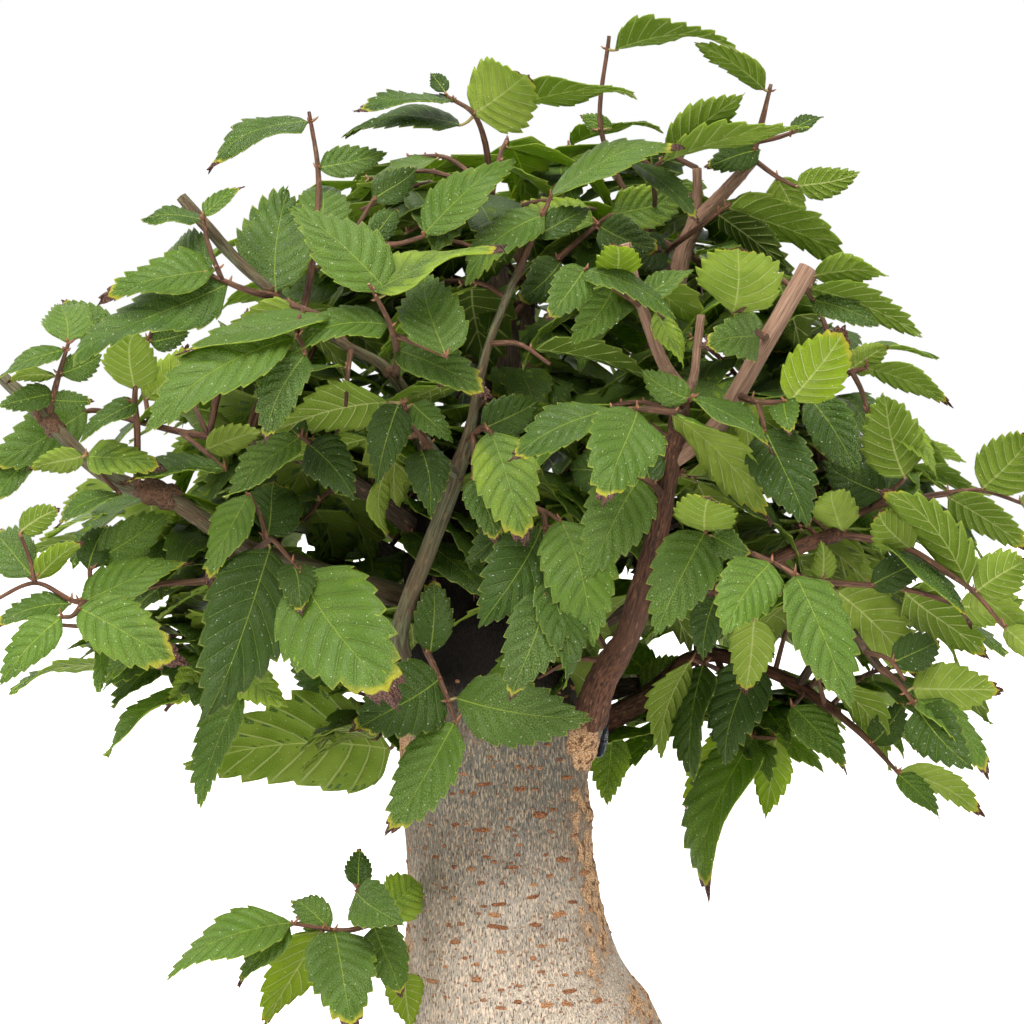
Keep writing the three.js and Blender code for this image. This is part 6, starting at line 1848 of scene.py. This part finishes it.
def soil_piece():
    """Mound of baked clay granules with some bark crumbs."""
    rng = random.Random(5)
    inner = POT_LENGTH / 2 - POT_RIM - 0.4
    base = Shape()
    rings = []
    profile = [(1, SOIL_EDGE_Z - 8), (inner, SOIL_EDGE_Z - 8)]
    profile += [(inner * (1 - k / SOIL_RINGS), 0) for k in range(SOIL_RINGS)]
    for r, z in profile:
        angle = 2 * math.pi * np.arange(SOIL_SIDES) / SOIL_SIDES
        x, y = np.cos(angle) * r, np.sin(angle) * r * POT_SQUEEZE
        high = soil_height(x, y) - 1.2 if z == 0 else np.full(SOIL_SIDES, z)
        ring = np.stack((x, y, high), axis=1)
        if z == 0:
            ring[:, 2] += 0.7 * grain(ring / 5, 3)
        rings.append(ring)
    points = np.concatenate(rings)
    base.add(points, closed_faces(len(rings), SOIL_SIDES), 0, bark_place=points, luck=0.3)
    for gx in np.arange(-inner, inner, GRANULE_PITCH):
        for gy in np.arange(-inner * POT_SQUEEZE, inner * POT_SQUEEZE, GRANULE_PITCH):
            x = gx + rng.uniform(-1.3, 1.3)
            y = gy + rng.uniform(-1.3, 1.3)
            size = rng.uniform(1.1, 2.3)
            if math.hypot(x, y / POT_SQUEEZE) > inner - size - 0.6:
                continue
            z = float(soil_height(x, y)) + rng.uniform(-1.2, 0.6)
            crumb = rng.random() < 0.12
            shape_size = (size, size * rng.uniform(0.7, 1), size * rng.uniform(0.55, 0.9))
            if crumb:
                shape_size = (size * 1.5, size * 0.6, size * 0.45)
            way = (rng.uniform(-1, 1), rng.uniform(-1, 1), 1.5)
            luck = rng.random()
            add_ball(base, np.array((x, y, z)), shape_size, 2 if crumb else 1,
                     rng.randrange(10 ** 6), 0.3, 1, way, luck=luck)
    granule = soil_material("soil_granules", (0.155, 0.090, 0.050), (0.330, 0.225, 0.135))
    under = soil_material("soil_bed", (0.085, 0.055, 0.035), (0.120, 0.080, 0.050))
    crumbs = soil_material("soil_bark_crumbs", (0.060, 0.038, 0.025), (0.150, 0.100, 0.065))
    piece = base.build("soil_mound", [under, granule, crumbs], flat=(1, 2))
    return place_piece(piece, "soil", "soil")


# Scene

FLOOR_HALF = 40
ROOM_LIGHT = 0.05
CEILING_LIGHT = 0.72
BACKDROP_LIGHT = 0.95
OVERHEAD_LIGHT = 4.6
FRONT_LIGHT = 1.3


def floor_and_light():
    """Pale floor, white studio and two soft lights."""
    corners = [(x * FLOOR_HALF, y * FLOOR_HALF, 0) for x, y in ((-1, -1), (1, -1), (1, 1), (-1, 1))]
    floor = bpy.data.meshes.new("floor")
    floor.from_pydata(corners, [], [(0, 1, 2, 3)])
    ground = put_in_scene("floor", floor)
    p = Paint("pale_floor")
    spot = p.node("TexCoord").outputs["Object"]
    grit = p.noise(spot, 3.0, 2.0)
    colour = p.mix(grit, (0.93, 0.93, 0.93), (0.96, 0.96, 0.96))
    floor.materials.append(p.finish(p.surface(colour, 0.9, None, 0.1)))
    bpy.context.scene.world = studio_light()
    add_sun("overhead", (26, -12), 50, OVERHEAD_LIGHT)
    add_sun("key", (47, -20), 36, FRONT_LIGHT)


def studio_light():
    """White where the camera sees it; it lights most from above and from the backdrop behind."""
    p = Paint("studio", bpy.data.worlds.new("studio"))
    way = p.node("SeparateXYZ", {0: p.node("TexCoord").outputs["Generated"]}).outputs
    above = p.span(way[2], 0.05, 0.80, ROOM_LIGHT, ROOM_LIGHT + CEILING_LIGHT)
    behind = p.span(way[1], 0.15, 0.75, 0.0, BACKDROP_LIGHT)
    seen = p.node("LightPath").outputs["Is Camera Ray"]
    shares = {"Value": seen, "To Min": p.math("ADD", above, behind), "To Max": 1.0}
    strength = p.node("MapRange", shares).outputs[0]
    sky = p.node("Background", {"Color": (1.0, 1.0, 1.0, 1.0), "Strength": strength})
    return p.finish(sky.outputs[0], "OutputWorld")


def add_sun(name, turn, softness, power):
    """Soft light from far away, tilted from straight down by two angles in degrees."""
    lamp = bpy.data.lights.new(name, "SUN")
    lamp.angle = math.radians(softness)
    lamp.energy = power
    made = put_in_scene(name, lamp)
    made.rotation_euler = (math.radians(turn[0]), math.radians(turn[1]), 0)


def camera():
    """Level camera at the picture's distance and height."""
    lens = bpy.data.cameras.new("camera")
    lens.lens = LENS
    lens.sensor_width = SENSOR
    made = put_in_scene("camera", lens)
    made.location = [value * MM for value in EYE]
    made.rotation_euler = (math.pi / 2, 0, 0)
    bpy.context.scene.camera = made


camera()
floor_and_light()
bpy.context.scene.view_settings.view_transform = "Standard"

lenticel_piece(trunk_piece())
for name in list(BOUGHS) + list(HIDDEN_BOUGHS):
    bough_piece(name)
sealant_piece()
for index, name in enumerate(SPRAYS):
    spray_piece(name, index)
for index in range(len(HIDDEN_SPRAYS)):
    hidden_spray_piece(index)
inner_foliage()
pot_piece()
soil_piece()
drain_green = grained_material("drain_mesh_green", (0.016, 0.050, 0.028), (0.030, 0.080, 0.045),
                               1400.0, 2.0, 0.0002, 0.55, 0.4, True)
for name in ("drain_mesh_left", "drain_mesh_right"):
    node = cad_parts[name]
    for slot in node.material_slots:
        slot.material = drain_green
